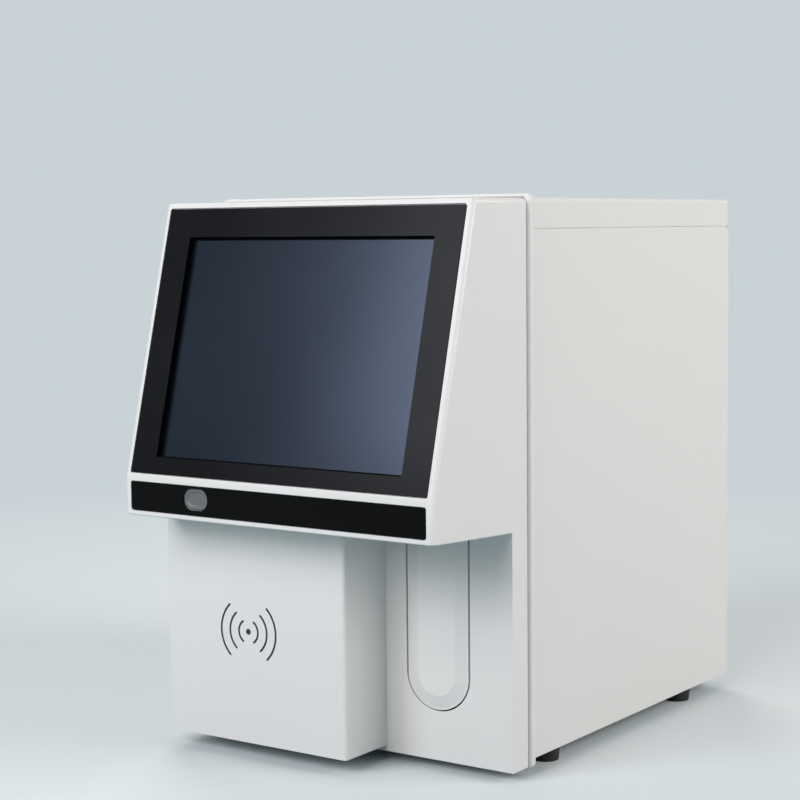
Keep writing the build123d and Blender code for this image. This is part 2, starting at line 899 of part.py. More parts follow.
# Side panels: sheets with a return under the base and one under the lid's edge
panel_top_z = seam_z - seam
for side, label in ((-1, "side_panel_left"), (1, "side_panel_right")):
    with BuildPart() as side_panel:
        with BuildSketch(Plane.XZ.offset(-body_y)):
            with BuildLine():
                Polyline(
                    (side * half_width, base_z),
                    (side * half_width, panel_top_z),
                    (side * (half_width - top_return), panel_top_z),
                    (side * (half_width - top_return), panel_top_z - sheet),
                    (side * inner_x, panel_top_z - sheet),
                    (side * inner_x, base_z + sheet),
                    (side * (half_width - side_return), base_z + sheet),
                    (side * (half_width - side_return), base_z),
                    close=True,
                )
            make_face()
        extrude(amount=-(rear_y - body_y))
        # The returns stop short of the rear panel, and a relief ends the lid's seam
        block(
            sorted((side * (inner_x + fit), side * (inner_x - side_return))),
            (base_rear, rear_y),
            (base_z - 1.0, panel_top_z + 1.0),
            mode=Mode.SUBTRACT,
        )
        block(
            sorted((side * (inner_x - 1.0), side * (half_width + 1.0))),
            about(rear_y - relief_inset, relief_width),
            (panel_top_z - relief_width, panel_top_z + 1.0),
            mode=Mode.SUBTRACT,
        )
        for x, y in foot_places:
            if x * side > 0:
                bar("z", foot_screw_radius + fit, (x, y, 0), (base_z, base_z + sheet), mode=Mode.SUBTRACT)
    side_panel.part.label = label
    export_step(side_panel.part, f"parts/{label}.step")

# Feet and their screws
foot_head_z = 4.0
with BuildPart() as feet:
    for x, y in foot_places:
        with Locations((x, y, base_z / 2)):
            Cone(foot_bottom_radius, foot_top_radius, base_z)
        bar("z", 4.5, (x, y, 0), (0, foot_head_z), mode=Mode.SUBTRACT)
        bar("z", foot_screw_radius + 0.1, (x, y, 0), (0, base_z), mode=Mode.SUBTRACT)
feet.part.label = "feet"
export_step(feet.part, "parts/feet.step")

with BuildPart() as foot_screws:
    for x, y in foot_places:
        bar("z", foot_screw_radius, (x, y, 0), (foot_head_z - 0.5, floor_z + 3.0))
        bar("z", 3.5, (x, y, 0), (foot_head_z - 2.5, foot_head_z))
        with BuildSketch(Plane.XY.offset(floor_z)):
            with Locations((x, y)):
                RegularPolygon(3.8, 6)
                Circle(foot_screw_radius - 0.1, mode=Mode.SUBTRACT)
        extrude(amount=2.5)
foot_screws.part.label = "foot_screws"
export_step(foot_screws.part, "parts/foot_screws.step")

# Top lid: a cover that laps down both sides and the rear
lid_front = body_y + seam
with BuildPart() as top_lid:
    block((-half_width, half_width), (lid_front, rear_y), (seam_z, top_z))
    fillet(top_lid.edges().filter_by(Axis.Y).group_by(Axis.Z)[-1], sheet_round)
    fillet(
        top_lid.edges().filter_by(Axis.X).group_by(Axis.Z)[-1].sort_by(Axis.Y)[-1:],
        sheet_round,
    )
    block(
        (-inner_x, inner_x),
        (lid_front - over, inner_rear_y),
        (seam_z - over, top_z - sheet),
        mode=Mode.SUBTRACT,
    )
top_lid.part.label = "top_lid"
export_step(top_lid.part, "parts/top_lid.step")

# Rear panel between the side panels, turned forward at its edges
rear_half = inner_x - fit
rear_top_z = panel_top_z
case_screw_x = 2 * (rear_half - case_screw_side)
case_screw_z = rear_top_z - floor_z - 2 * case_screw_end
fan_z = top_z - fan_drop
inlet_z = base_z + inlet_rise
port_z = base_z + port_rise
fitting_z = base_z + fitting_rise
fan_pitch = fan_size - 2 * fan_hole_inset
port_width = 92.0
port_height = 17.0
fitting_places = [
    (fitting_x + i * fitting_pitch_x / 2, fitting_z + j * fitting_pitch_z / 2)
    for i in (-1, 1)
    for j in (-1, 1)
]
with BuildPart() as rear_panel:
    block((-rear_half, rear_half), (inner_rear_y, rear_y), (base_z, rear_top_z))
    for side in (-1, 1):
        edge = sorted((side * rear_half, side * (rear_half - sheet)))
        block(edge, (inner_rear_y - base_lip, inner_rear_y), (floor_z + base_lip, rear_top_z - 2 * sheet))
    with BuildSketch(upright(rear_y)):
        with Locations((fan_x, fan_z)):
            Circle(fan_size / 2 - 2.5)
            with GridLocations(fan_pitch, fan_pitch, 2, 2):
                Circle(fan_hole)
        with Locations((inlet_x, inlet_z)):
            Rectangle(inlet_width - 2 * inlet_flange, inlet_height - 2 * inlet_flange)
        with Locations((port_x, port_z)):
            Rectangle(port_width, port_height)
        with Locations(fitting_places):
            Circle(fitting_body + fit)
        # Air slots at the upper right
        with Locations((fitting_x - 6.0, fan_z)):
            with GridLocations(0, 9.0, 1, 8):
                SlotOverall(62.0, 4.0)
        # Holes of the case screws
        with Locations((0, (floor_z + rear_top_z) / 2)):
            with GridLocations(case_screw_x, case_screw_z, 2, 2):
                Circle(1.7)
    extrude(amount=-2 * sheet, both=True, mode=Mode.SUBTRACT)
rear_panel.part.label = "rear_panel"
export_step(rear_panel.part, "parts/rear_panel.step")

with BuildPart() as case_screws:
    for x in about(0, case_screw_x):
        for z in about((floor_z + rear_top_z) / 2, case_screw_z):
            bar("y", 1.5, (x, 0, z), (inner_rear_y - 6.0, rear_y + 0.1))
            bar("y", 3.0, (x, 0, z), (rear_y, rear_y + 1.8))
            block(about(x, 0.8), (rear_y + 1.0, rear_y + 2.0), about(z, 4.0), mode=Mode.SUBTRACT)
            block(about(x, 4.0), (rear_y + 1.0, rear_y + 2.0), about(z, 0.8), mode=Mode.SUBTRACT)
case_screws.part.label = "case_screws"
export_step(case_screws.part, "parts/case_screws.step")

# Lid hinges behind the rear panel: knuckles on a pin at the height of the seam
hinge_y = rear_y + knuckle_radius + 0.6
hinge_z = seam_z - seam / 2
third = hinge_length / 3
with BuildPart() as lid_hinge_lower_leaves:
    for x in (-hinge_x, hinge_x):
        leaf_z = (hinge_z - hinge_leaf, hinge_z - knuckle_radius - fit)
        block(about(x, hinge_length), (rear_y, rear_y + sheet), leaf_z)
        for end in (-1, 1):
            span = sorted((x + end * (third / 2 + 0.15), x + end * hinge_length / 2))
            block(span, (rear_y, rear_y + sheet), (hinge_z - hinge_leaf / 2, hinge_z))
            bar("x", knuckle_radius, (0, hinge_y, hinge_z), span)
            bar("x", hinge_pin_radius + pin_fit, (0, hinge_y, hinge_z), span, mode=Mode.SUBTRACT)
lid_hinge_lower_leaves.part.label = "lid_hinge_lower_leaves"
export_step(lid_hinge_lower_leaves.part, "parts/lid_hinge_lower_leaves.step")

with BuildPart() as lid_hinge_upper_leaves:
    for x in (-hinge_x, hinge_x):
        leaf_z = (hinge_z + knuckle_radius + fit, hinge_z + hinge_leaf)
        block(about(x, hinge_length), (rear_y, rear_y + sheet), leaf_z)
        span = about(x, third - 0.3)
        block(span, (rear_y, rear_y + sheet), (hinge_z + seam, hinge_z + hinge_leaf / 2))
        bar("x", knuckle_radius, (0, hinge_y, hinge_z), span)
        bar("x", hinge_pin_radius + pin_fit, (0, hinge_y, hinge_z), span, mode=Mode.SUBTRACT)
lid_hinge_upper_leaves.part.label = "lid_hinge_upper_leaves"
export_step(lid_hinge_upper_leaves.part, "parts/lid_hinge_upper_leaves.step")

with BuildPart() as lid_hinge_pins:
    for x in (-hinge_x, hinge_x):
        bar("x", hinge_pin_radius, (0, hinge_y, hinge_z), about(x, hinge_length + 1.0))
lid_hinge_pins.part.label = "lid_hinge_pins"
export_step(lid_hinge_pins.part, "parts/lid_hinge_pins.step")

# Fan: frame with its motor spider, rotor, and a wire guard outside
fan_back = inner_rear_y
fan_front = fan_back - fan_depth
fan_bore = fan_size / 2 - 2.0
rotor_radius = fan_bore - fan_gap
with BuildPart() as fan_frame:
    with BuildSketch(upright(fan_back)):
        with Locations((fan_x, fan_z)):
            RectangleRounded(fan_size, fan_size, 4.0)
            Circle(fan_bore, mode=Mode.SUBTRACT)
            with GridLocations(fan_pitch, fan_pitch, 2, 2):
                Circle(fan_hole, mode=Mode.SUBTRACT)
    extrude(amount=fan_depth)
    with BuildSketch(upright(fan_front + spider_depth)):
        with Locations((fan_x, fan_z)):
            Circle(fan_hub_radius)
            Rectangle(2 * fan_bore + over, spider_width)
            Rectangle(spider_width, 2 * fan_bore + over)
    extrude(amount=spider_depth)
    bar("y", spindle_radius, (fan_x, 0, fan_z), (fan_front, fan_back - rotor_gap))
fan_frame.part.label = "fan_frame"
export_step(fan_frame.part, "parts/fan_frame.step")

blade_front, blade_back = fan_front + rotor_gap, fan_back - rotor_gap / 2
with BuildPart() as fan_rotor:
    bar("y", fan_hub_radius, (fan_x, 0, fan_z), (blade_front, blade_back))
    spindle_bore = (blade_front - over, fan_back - rotor_gap + fit)
    bar("y", spindle_radius + slip, (fan_x, 0, fan_z), spindle_bore, mode=Mode.SUBTRACT)
    with Locations(Location((fan_x, (blade_front + blade_back) / 2, fan_z), (90, 0, 0))):
        with PolarLocations((fan_hub_radius + rotor_radius) / 2, fan_blades):
            Box(
                rotor_radius - fan_hub_radius + 2 * sink,
                blade_thickness,
                blade_chord,
                rotation=(blade_twist, 0, 0),
            )
    # Trim the blades to the bore and to their depth
    with BuildSketch(upright(blade_back)):
        with Locations((fan_x, fan_z)):
            Circle(rotor_radius)
    extrude(amount=blade_back - blade_front, mode=Mode.INTERSECT)
fan_rotor.part.label = "fan_rotor"
export_step(fan_rotor.part, "parts/fan_rotor.step")

guard_y = rear_y + guard_wire
with BuildPart() as fan_guard:
    with Locations(Location((fan_x, guard_y, fan_z), (90, 0, 0))):
        for ring in range(guard_rings):
            Torus(guard_first + guard_pitch * ring, guard_wire)
        spoke_end = fan_pitch / 2**0.5
        with PolarLocations((guard_first + spoke_end) / 2, 4, 45):
            Box(spoke_end - guard_first, 2 * guard_wire, 1.4 * guard_wire)
    for x in about(fan_x, fan_pitch):
        for z in about(fan_z, fan_pitch):
            bar("y", 4.0, (x, 0, z), (rear_y, rear_y + 2 * guard_wire))
            bar("y", 2.0, (x, 0, z), (fan_front + 8.0, rear_y + 3.6))
            bar("y", 3.4, (x, 0, z), (rear_y + 2 * guard_wire, rear_y + 3.6))
fan_guard.part.label = "fan_guard"
export_step(fan_guard.part, "parts/fan_guard.step")

# Mains inlet with its socket, and the rocker switch above it
socket_z = inlet_z - 11.0
rocker_z = inlet_z + 15.0
inlet_face = rear_y + inlet_proud
pivot_y = rear_y - 3.5
rocker_pin_radius = 1.5
with BuildPart() as power_inlet:
    block(about(inlet_x, inlet_width), (rear_y, inlet_face), about(inlet_z, inlet_height))
    block(
        about(inlet_x, inlet_width - 2 * (inlet_flange + fit)),
        (inner_rear_y - inlet_depth, rear_y + sink),
        about(inlet_z, inlet_height - 2 * (inlet_flange + fit)),
    )
    with BuildSketch(upright(inlet_face)):
        with Locations((inlet_x, socket_z)):
            Rectangle(socket_width, socket_height)
    extrude(amount=socket_depth, mode=Mode.SUBTRACT)
    contact_y = (inlet_face - socket_depth - sink, inlet_face - contact_sink)
    for x, z in ((-7.0, -2.0), (7.0, -2.0), (0.0, 2.0)):
        block(about(inlet_x + x, 2.0), contact_y, about(socket_z + z, 4.0))
    block(
        about(inlet_x, rocker_width + 2 * fit),
        (rear_y - rocker_well, inlet_face + over),
        about(rocker_z, rocker_height + 2 * fit),
        mode=Mode.SUBTRACT,
    )
    bar("x", rocker_pin_radius, (0, pivot_y, rocker_z), about(inlet_x, rocker_width + 2.0))
power_inlet.part.label = "power_inlet"
export_step(power_inlet.part, "parts/power_inlet.step")

# Rocker, resting in its off position: its sketch axes are turned by the tip angle
rocker_plane = Plane(
    origin=(inlet_x - rocker_width / 2, pivot_y, rocker_z),
    x_dir=(0, cos(radians(rocker_tip)), -sin(radians(rocker_tip))),
    z_dir=(1, 0, 0),
)
rocker_back = 2.5
rocker_end = rocker_height / 2 - rocker_end_gap
with BuildPart() as power_rocker:
    with BuildSketch(rocker_plane):
        with BuildLine():
            Polyline(
                (-rocker_back, -rocker_back),
                (-rocker_back, rocker_back),
                (rocker_neck, rocker_end),
                (rocker_crest, rocker_end),
                (rocker_dip, 0),
                (rocker_crest, -rocker_end),
                (rocker_neck, -rocker_end),
                close=True,
            )
        make_face()
    extrude(amount=rocker_width)
    bore_x = about(inlet_x, rocker_width + 2 * over)
    bar("x", rocker_pin_radius + slip, (0, pivot_y, rocker_z), bore_x, mode=Mode.SUBTRACT)
power_rocker.part.label = "power_rocker"
export_step(power_rocker.part, "parts/power_rocker.step")

# Port board: network, two pairs of data sockets and a serial port, through the rear panel
port_floor = port_z - port_height / 2 + 2 * fit
port_face = rear_y + 0.4
net_x = port_x - 34.0
pair_places = (port_x - 14.0, port_x + 4.0)
serial_x = port_x + 29.0
serial_z = port_floor + 6.3
with BuildPart() as port_board:
    block(
        about(port_x, port_width + 8.0),
        (inner_rear_y - port_board_depth, inner_rear_y - over),
        (port_floor - board_thickness, port_floor),
    )
    # Network socket
    block(about(net_x, 16.0), (inner_rear_y - 20.0, port_face), (port_floor - fit, port_floor + 13.5))
    block(
        about(net_x, 12.0),
        (port_face - 12.0, port_face + over),
        (port_floor + 2.5, port_floor + 10.5),
        mode=Mode.SUBTRACT,
    )
    # Data sockets, two over two, each with its tongue
    for x in pair_places:
        block(about(x, 14.4), (inner_rear_y - 18.0, port_face), (port_floor - fit, port_floor + 15.6))
        for z in (port_floor + 1.2, port_floor + 8.6):
            block(about(x, 12.6), (port_face - 10.0, port_face + over), (z, z + 5.6), mode=Mode.SUBTRACT)
            block(about(x, 11.0), (port_face - 10.5, port_face - 1.4), (z + 3.4, z + 4.6))
    # Serial port: a D-shaped shell with its two screw posts
    block(about(serial_x, 31.0), (inner_rear_y - 12.0, rear_y), (port_floor - fit, port_floor + 12.6))
    with BuildSketch(upright(rear_y)):
        with Locations((serial_x, serial_z)):
            Trapezoid(18.0, 8.6, 80, rotation=180)
    extrude(amount=-5.0)
    with BuildSketch(upright(rear_y + 5.0)):
        with Locations((serial_x, serial_z)):
            Trapezoid(16.6, 7.2, 80, rotation=180)
    extrude(amount=4.5, mode=Mode.SUBTRACT)
    for x in about(serial_x, 25.0):
        bar("y", 2.4, (x, 0, serial_z), (rear_y - sink, rear_y + 4.5))
port_board.part.label = "port_board"
export_step(port_board.part, "parts/port_board.step")

# Reagent fittings: barbed tails on bulkheads with a nut inside
with BuildPart() as reagent_fittings:
    for x, z in fitting_places:
        bar("y", fitting_body, (x, 0, z), (inner_rear_y - 12.0, rear_y + 4.0))
        with BuildSketch(upright(rear_y + 5.0)):
            with Locations((x, z)):
                RegularPolygon(fitting_hex, 6)
        extrude(amount=5.0)
        with BuildSketch(upright(inner_rear_y)):
            with Locations((x, z)):
                RegularPolygon(fitting_hex, 6)
        extrude(amount=4.0)
        barb = (rear_reach - 5.0) / (barb_steps + 1)
        bar("y", fitting_tail, (x, 0, z), (rear_y + 4.5, rear_y + rear_reach))
        for step in range(barb_steps):
            start = rear_y + 5.0 + (step + 1) * barb
            with Locations(Location((x, start + barb / 2, z), (-90, 0, 0))):
                Cone(fitting_barb, fitting_tail, barb)
        bore_y = (inner_rear_y - 12.0 - over, rear_y + rear_reach + over)
        bar("y", fitting_bore, (x, 0, z), bore_y, mode=Mode.SUBTRACT)
reagent_fittings.part.label = "reagent_fittings"
export_step(reagent_fittings.part, "parts/reagent_fittings.step")

# Service wall: the upright plate that carries the probe travel and the electronics
wall_x = plate_x - wall_to_probe
wall_left = wall_x - wall_sheet
wall_rear = inner_rear_y - wall_rear_gap
wall_front = body_y + wall_front_gap
carriage_z = nose_z + carriage_clear
belt_z = top_z - belt_drop
carriage_top = belt_z - belt_over
wall_top = belt_z + 2 * pulley_flange
idler_y = front_y + idler_setback
drive_y = front_y + drive_setback
belt_left = wall_x + 2.1
with BuildPart() as service_wall:
    with BuildSketch(Plane.YZ.offset(wall_left)):
        with BuildLine():
            Polyline(
                (wall_front, floor_z),
                (wall_front, carriage_z + wall_arm_rise),
                (front_y + wall_arm_setback, carriage_z + wall_arm_rise),
                (front_y + wall_arm_setback, wall_top),
                (wall_rear, wall_top),
                (wall_rear, floor_z),
                close=True,
            )
        make_face()
        with Locations((drive_y, belt_z)):
            Circle(pulley_bore + 1.0, mode=Mode.SUBTRACT)
        with Locations((wall_rear - cable_slot_inset, floor_z + cable_slot_rise)):
            SlotOverall(cable_slot_length, cable_slot_width, rotation=90, mode=Mode.SUBTRACT)
    extrude(amount=wall_sheet)
    block((wall_left - wall_flange, wall_left), (wall_front, wall_rear), (floor_z, floor_z + wall_sheet))
    bar("x", pulley_bore, (0, idler_y, belt_z), (wall_x - 0.5, belt_left + belt_width + 1.2))
service_wall.part.label = "service_wall"
export_step(service_wall.part, "parts/service_wall.step")

# Travel rail and the probe carriage, which ends the belt's clamp and the lift's shelves
carriage_y = needle_y + probe_reach
rail_z = carriage_top - rail_drop
plate_left = wall_x + rail_thickness + 3.0 + slip
plate_right = plate_left + plate_sheet
screw_x = plate_right + screw_out
screw_y = carriage_y - screw_ahead
with BuildPart() as travel_rail:
    block(
        (wall_x, wall_x + rail_thickness),
        (carriage_y - block_length / 2 - 3.0, carriage_y + travel + block_length / 2 + 3.0),
        about(rail_z, rail_width),
    )
travel_rail.part.label = "travel_rail"
export_step(travel_rail.part, "parts/travel_rail.step")

run_top = belt_z - pulley_radius - slip
run_bottom = run_top - belt_thickness
clamp_y = (carriage_y + 4.0, carriage_y + 20.0)
with BuildPart() as probe_carriage:
    block((wall_x + 1.5, plate_left), about(carriage_y, block_length), about(rail_z, block_width))
    block(
        (wall_x, wall_x + rail_thickness + slip),
        about(carriage_y, block_length + 2.0),
        about(rail_z, rail_width + 2 * slip),
        mode=Mode.SUBTRACT,
    )
    block((plate_left, plate_right), about(carriage_y, carriage_width), (carriage_z, carriage_top))
    block((plate_left, plate_right), clamp_y, (carriage_top, run_top + 3.5))
    block((belt_left, plate_left), clamp_y, (run_top + fit, run_top + 3.5))
    block((belt_left, plate_left), clamp_y, (run_bottom - 4.0, run_bottom - fit))
    # Shelf for the lift motor above, shelf for the wipe and the screw's lower bearing below
    block(
        (plate_right, screw_x + small_motor_size / 2),
        about(screw_y, small_motor_size),
        (carriage_top - plate_sheet, carriage_top),
    )
    screw_place = (screw_x, screw_y, 0)
    top_shelf = (carriage_top - plate_sheet, carriage_top)
    bar("z", screw_radius + over, screw_place, top_shelf, mode=Mode.SUBTRACT)
    foot_shelf = (carriage_z, carriage_z + plate_sheet)
    block(
        (plate_right - sink, plate_x + wipe_radius + plate_sheet),
        (needle_y - wipe_radius - plate_sheet, screw_y + screw_radius + plate_sheet),
        foot_shelf,
    )
    bar("z", screw_radius + slip, screw_place, foot_shelf, mode=Mode.SUBTRACT)
    bar("z", wipe_radius, (plate_x, needle_y, 0), foot_shelf, mode=Mode.SUBTRACT)
probe_carriage.part.label = "probe_carriage"
export_step(probe_carriage.part, "parts/probe_carriage.step")

# Belt round its two pulleys
with BuildPart() as travel_belt:
    with BuildSketch(Plane.YZ.offset(belt_left)):
        with Locations(((idler_y + drive_y) / 2, belt_z)):
            SlotCenterToCenter(drive_y - idler_y, 2 * (pulley_radius + slip + belt_thickness))
            SlotCenterToCenter(drive_y - idler_y, 2 * (pulley_radius + slip), mode=Mode.SUBTRACT)
    extrude(amount=belt_width)
travel_belt.part.label = "travel_belt"
export_step(travel_belt.part, "parts/travel_belt.step")

flange_left = (wall_x + 1.0, belt_left - 0.2)
flange_right = (belt_left + belt_width + 0.2, belt_left + belt_width + 1.0)
with BuildPart() as idler_pulley:
    bar("x", pulley_radius, (0, idler_y, belt_z), (flange_left[0], flange_right[1]))
    bar("x", pulley_flange, (0, idler_y, belt_z), flange_left)
    bar("x", pulley_flange, (0, idler_y, belt_z), flange_right)
    bar("x", pulley_bore + slip, (0, idler_y, belt_z), (wall_x, flange_right[1] + 1.0), mode=Mode.SUBTRACT)
idler_pulley.part.label = "idler_pulley"
export_step(idler_pulley.part, "parts/idler_pulley.step")

shaft_end = wall_left - travel_motor_length + 8.0
with BuildPart() as drive_pulley:
    bar("x", pulley_radius, (0, drive_y, belt_z), (flange_left[0], flange_right[1]))
    bar("x", pulley_flange, (0, drive_y, belt_z), flange_left)
    bar("x", pulley_flange, (0, drive_y, belt_z), flange_right)
    bar("x", pulley_bore, (0, drive_y, belt_z), (shaft_end, flange_right[1] + over))
drive_pulley.part.label = "drive_pulley"
export_step(drive_pulley.part, "parts/drive_pulley.step")

with BuildPart() as travel_motor:
    block(
        (wall_left - travel_motor_length, wall_left),
        about(drive_y, travel_motor_size),
        about(belt_z, travel_motor_size),
    )
    chamfer(travel_motor.edges().filter_by(Axis.X), 3.0)
    shaft_bore = (shaft_end - fit, wall_left + over)
    bar("x", pulley_bore + slip, (0, drive_y, belt_z), shaft_bore, mode=Mode.SUBTRACT)
travel_motor.part.label = "travel_motor"
export_step(travel_motor.part, "parts/travel_motor.step")

# Probe lift: rail, lead screw and motor on the carriage
with BuildPart() as lift_rail:
    block(
        (plate_right, plate_right + lift_rail_thickness),
        about(carriage_y, lift_rail_width),
        (carriage_z + 10.0, carriage_top - plate_sheet - 1.0),
    )
lift_rail.part.label = "lift_rail"
export_step(lift_rail.part, "parts/lift_rail.step")

slider_top = carriage_top - slider_drop
slider_z = (slider_top - slider_height, slider_top)
slider_left = plate_right + 1.5
slider_right = plate_right + lift_rail_thickness + 7.0
with BuildPart() as probe_slider:
    block((slider_left, slider_right), about(carriage_y, 20.0), slider_z)
    block(
        (plate_right, plate_right + lift_rail_thickness + slip),
        about(carriage_y, lift_rail_width + 2 * slip),
        (slider_z[0] - 1.0, slider_z[1] + 1.0),
        mode=Mode.SUBTRACT,
    )
    # Nut round the screw, and the arm out to the needle
    nut_x = about(screw_x, 2 * screw_radius + 5.0)
    block(nut_x, (screw_y - screw_radius - 2.5, carriage_y - 6.0), slider_z)
    block(nut_x, (needle_y - 5.0, screw_y), (slider_top - arm_thickness, slider_top))
    block((nut_x[0], plate_x + 5.0), about(needle_y, 10.0), (slider_top - arm_thickness, slider_top))
    slider_bore = (slider_z[0] - over, slider_z[1] + over)
    bar("z", screw_radius + slip, screw_place, slider_bore, mode=Mode.SUBTRACT)
    bar("z", needle_radius, (plate_x, needle_y, 0), slider_bore, mode=Mode.SUBTRACT)
probe_slider.part.label = "probe_slider"
export_step(probe_slider.part, "parts/probe_slider.step")

needle_tip = carriage_z + needle_rise
with BuildPart() as sample_probe:
    needle_line = (plate_x, needle_y, 0)
    needle_end = slider_top + needle_over
    bar("z", needle_radius, needle_line, (needle_tip, needle_end))
    bar("z", needle_hub_radius, needle_line, (slider_top, slider_top + needle_hub))
    bar("z", needle_bore, needle_line, (needle_tip - over, needle_end + over), mode=Mode.SUBTRACT)
sample_probe.part.label = "sample_probe"
export_step(sample_probe.part, "parts/sample_probe.step")

lift_screw_top = carriage_top + small_motor_length - 8.0
with BuildPart() as lift_screw:
    bar("z", screw_radius, screw_place, (carriage_z + fit, lift_screw_top))
lift_screw.part.label = "lift_screw"
export_step(lift_screw.part, "parts/lift_screw.step")

with BuildPart() as lift_motor:
    block(
        about(screw_x, small_motor_size),
        about(screw_y, small_motor_size),
        (carriage_top, carriage_top + small_motor_length),
    )
    chamfer(lift_motor.edges().filter_by(Axis.Z), 2.5)
    motor_bore = (carriage_top - over, lift_screw_top + fit)
    bar("z", screw_radius + slip, screw_place, motor_bore, mode=Mode.SUBTRACT)
lift_motor.part.label = "lift_motor"
export_step(lift_motor.part, "parts/lift_motor.step")

wipe_place = (plate_x, needle_y, 0)
wipe_z = (carriage_z - wipe_drop, carriage_z + plate_sheet + wipe_collar)
with BuildPart() as probe_wipe:
    bar("z", wipe_radius - pin_fit, wipe_place, (wipe_z[0], carriage_z + plate_sheet))
    bar("z", wipe_radius + wipe_flange, wipe_place, (carriage_z + plate_sheet, wipe_z[1]))
    bar("z", needle_radius + slip, wipe_place, (wipe_z[0] - over, wipe_z[1] + over), mode=Mode.SUBTRACT)
probe_wipe.part.label = "probe_wipe"
export_step(probe_wipe.part, "parts/probe_wipe.step")

# Counting chambers under the probe's path, on a bracket with a shield
chamber_top = carriage_z - chamber_clear
chamber_bottom = chamber_top - chamber_height
chamber_places = [needle_y + first_chamber, needle_y + travel]
with BuildPart() as counting_chambers:
    for y in chamber_places:
        block(about(plate_x, chamber_size), about(y, chamber_size), (chamber_bottom, chamber_top))
        bar("z", 3.0, (plate_x, y, 0), (chamber_bottom - 9.0, chamber_bottom))
        bar("z", chamber_bore, (plate_x, y, 0), (chamber_top - 56.0, chamber_top + 1.0), mode=Mode.SUBTRACT)
        with Locations((plate_x, y, chamber_top - 63.0)):
            Cone(3.0, chamber_bore, 14.0, mode=Mode.SUBTRACT)
        bar("z", 1.5, (plate_x, y, 0), (chamber_bottom - 10.0, chamber_top - 60.0), mode=Mode.SUBTRACT)
counting_chambers.part.label = "counting_chambers"
export_step(counting_chambers.part, "parts/counting_chambers.step")

shelf_right = plate_x + chamber_size / 2 + 3.0
shelf_y = (chamber_places[0] - chamber_size / 2 - 4.0, chamber_places[1] + chamber_size / 2 + 4.0)
with BuildPart() as chamber_bracket:
    block((wall_x, shelf_right), shelf_y, (chamber_bottom - shelf_sheet, chamber_bottom))
    block((wall_x, wall_x + shelf_sheet), shelf_y, (chamber_bottom, chamber_bottom + 24.0))
    block((shelf_right - shelf_sheet, shelf_right), shelf_y, (chamber_bottom, chamber_top - 8.0))
    for y in shelf_y:
        inwards = shelf_sheet if y == shelf_y[0] else -shelf_sheet
        block((wall_x, shelf_right), sorted((y, y + inwards)), (chamber_bottom, chamber_top - 8.0))
    for y in chamber_places:
        bar("z", 4.0, (plate_x, y, 0), (chamber_bottom - shelf_sheet, chamber_bottom), mode=Mode.SUBTRACT)
chamber_bracket.part.label = "chamber_bracket"
export_step(chamber_bracket.part, "parts/chamber_bracket.step")

# Syringe unit on the service wall
syringe_y = front_y + syringe_setback
barrel_x = wall_x + syringe_out
syringe_screw_x = wall_x + syringe_screw_out
low_shelf = (floor_z + small_motor_length + 1.0, floor_z + small_motor_length + 1.0 + syringe_shelf)
carrier_z = (low_shelf[1] + 4.0, low_shelf[1] + 4.0 + carrier_height)
mid_shelf = (carrier_z[1] + syringe_stroke + 4.0, carrier_z[1] + syringe_stroke + 4.0 + syringe_shelf)
high_shelf = (mid_shelf[1] + barrel_length, mid_shelf[1] + barrel_length + syringe_shelf)
shelf_out = barrel_x + syringe_bore + barrel_wall + 6.0
screw_line = (syringe_screw_x, syringe_y, 0)
barrel_line = (barrel_x, syringe_y, 0)
with BuildPart() as syringe_frame:
    block((wall_x, wall_x + back_sheet), about(syringe_y, syringe_width), (floor_z + fit, high_shelf[1]))
    for shelf in (low_shelf, mid_shelf, high_shelf):
        block((wall_x + back_sheet, shelf_out), about(syringe_y, small_motor_size), shelf)
    bar("z", screw_radius + over, screw_line, low_shelf, mode=Mode.SUBTRACT)
    bar("z", screw_radius + slip, screw_line, mid_shelf, mode=Mode.SUBTRACT)
    bar("z", plunger_rod + fit, barrel_line, mid_shelf, mode=Mode.SUBTRACT)
    bar("z", barrel_neck + slip, barrel_line, high_shelf, mode=Mode.SUBTRACT)
syringe_frame.part.label = "syringe_frame"
export_step(syringe_frame.part, "parts/syringe_frame.step")

with BuildPart() as syringe_barrel:
    bar("z", syringe_bore + barrel_wall, barrel_line, (mid_shelf[1], high_shelf[0]))
    bar("z", barrel_neck, barrel_line, (high_shelf[0] - sink, high_shelf[1] + 3.0))
    bar("z", barrel_nipple, barrel_line, (high_shelf[1] + 3.0 - sink, high_shelf[1] + 8.0))
    cavity = (mid_shelf[1] - over, high_shelf[0] - barrel_wall)
    bar("z", syringe_bore, barrel_line, cavity, mode=Mode.SUBTRACT)
    outlet = (cavity[1] - over, high_shelf[1] + 8.0 + over)
    bar("z", barrel_nipple / 2, barrel_line, outlet, mode=Mode.SUBTRACT)
syringe_barrel.part.label = "syringe_barrel"
export_step(syringe_barrel.part, "parts/syringe_barrel.step")

piston_z = (mid_shelf[1] + piston_lift, mid_shelf[1] + piston_lift + piston_length)
with BuildPart() as syringe_plunger:
    bar("z", syringe_bore - pin_fit, barrel_line, piston_z)
    bar("z", plunger_rod, barrel_line, (carrier_z[0], piston_z[0] + over))
    block(
        (syringe_screw_x - screw_radius - 5.0, barrel_x + plunger_rod + 3.5),
        about(syringe_y, carrier_width),
        carrier_z,
    )
    nut_bore = (carrier_z[0] - over, carrier_z[1] + over)
    bar("z", screw_radius + slip, screw_line, nut_bore, mode=Mode.SUBTRACT)
syringe_plunger.part.label = "syringe_plunger"
export_step(syringe_plunger.part, "parts/syringe_plunger.step")

syringe_screw_end = low_shelf[0] - small_motor_length + 8.0
with BuildPart() as syringe_screw:
    bar("z", screw_radius, screw_line, (syringe_screw_end, mid_shelf[1] - fit))
syringe_screw.part.label = "syringe_screw"
export_step(syringe_screw.part, "parts/syringe_screw.step")

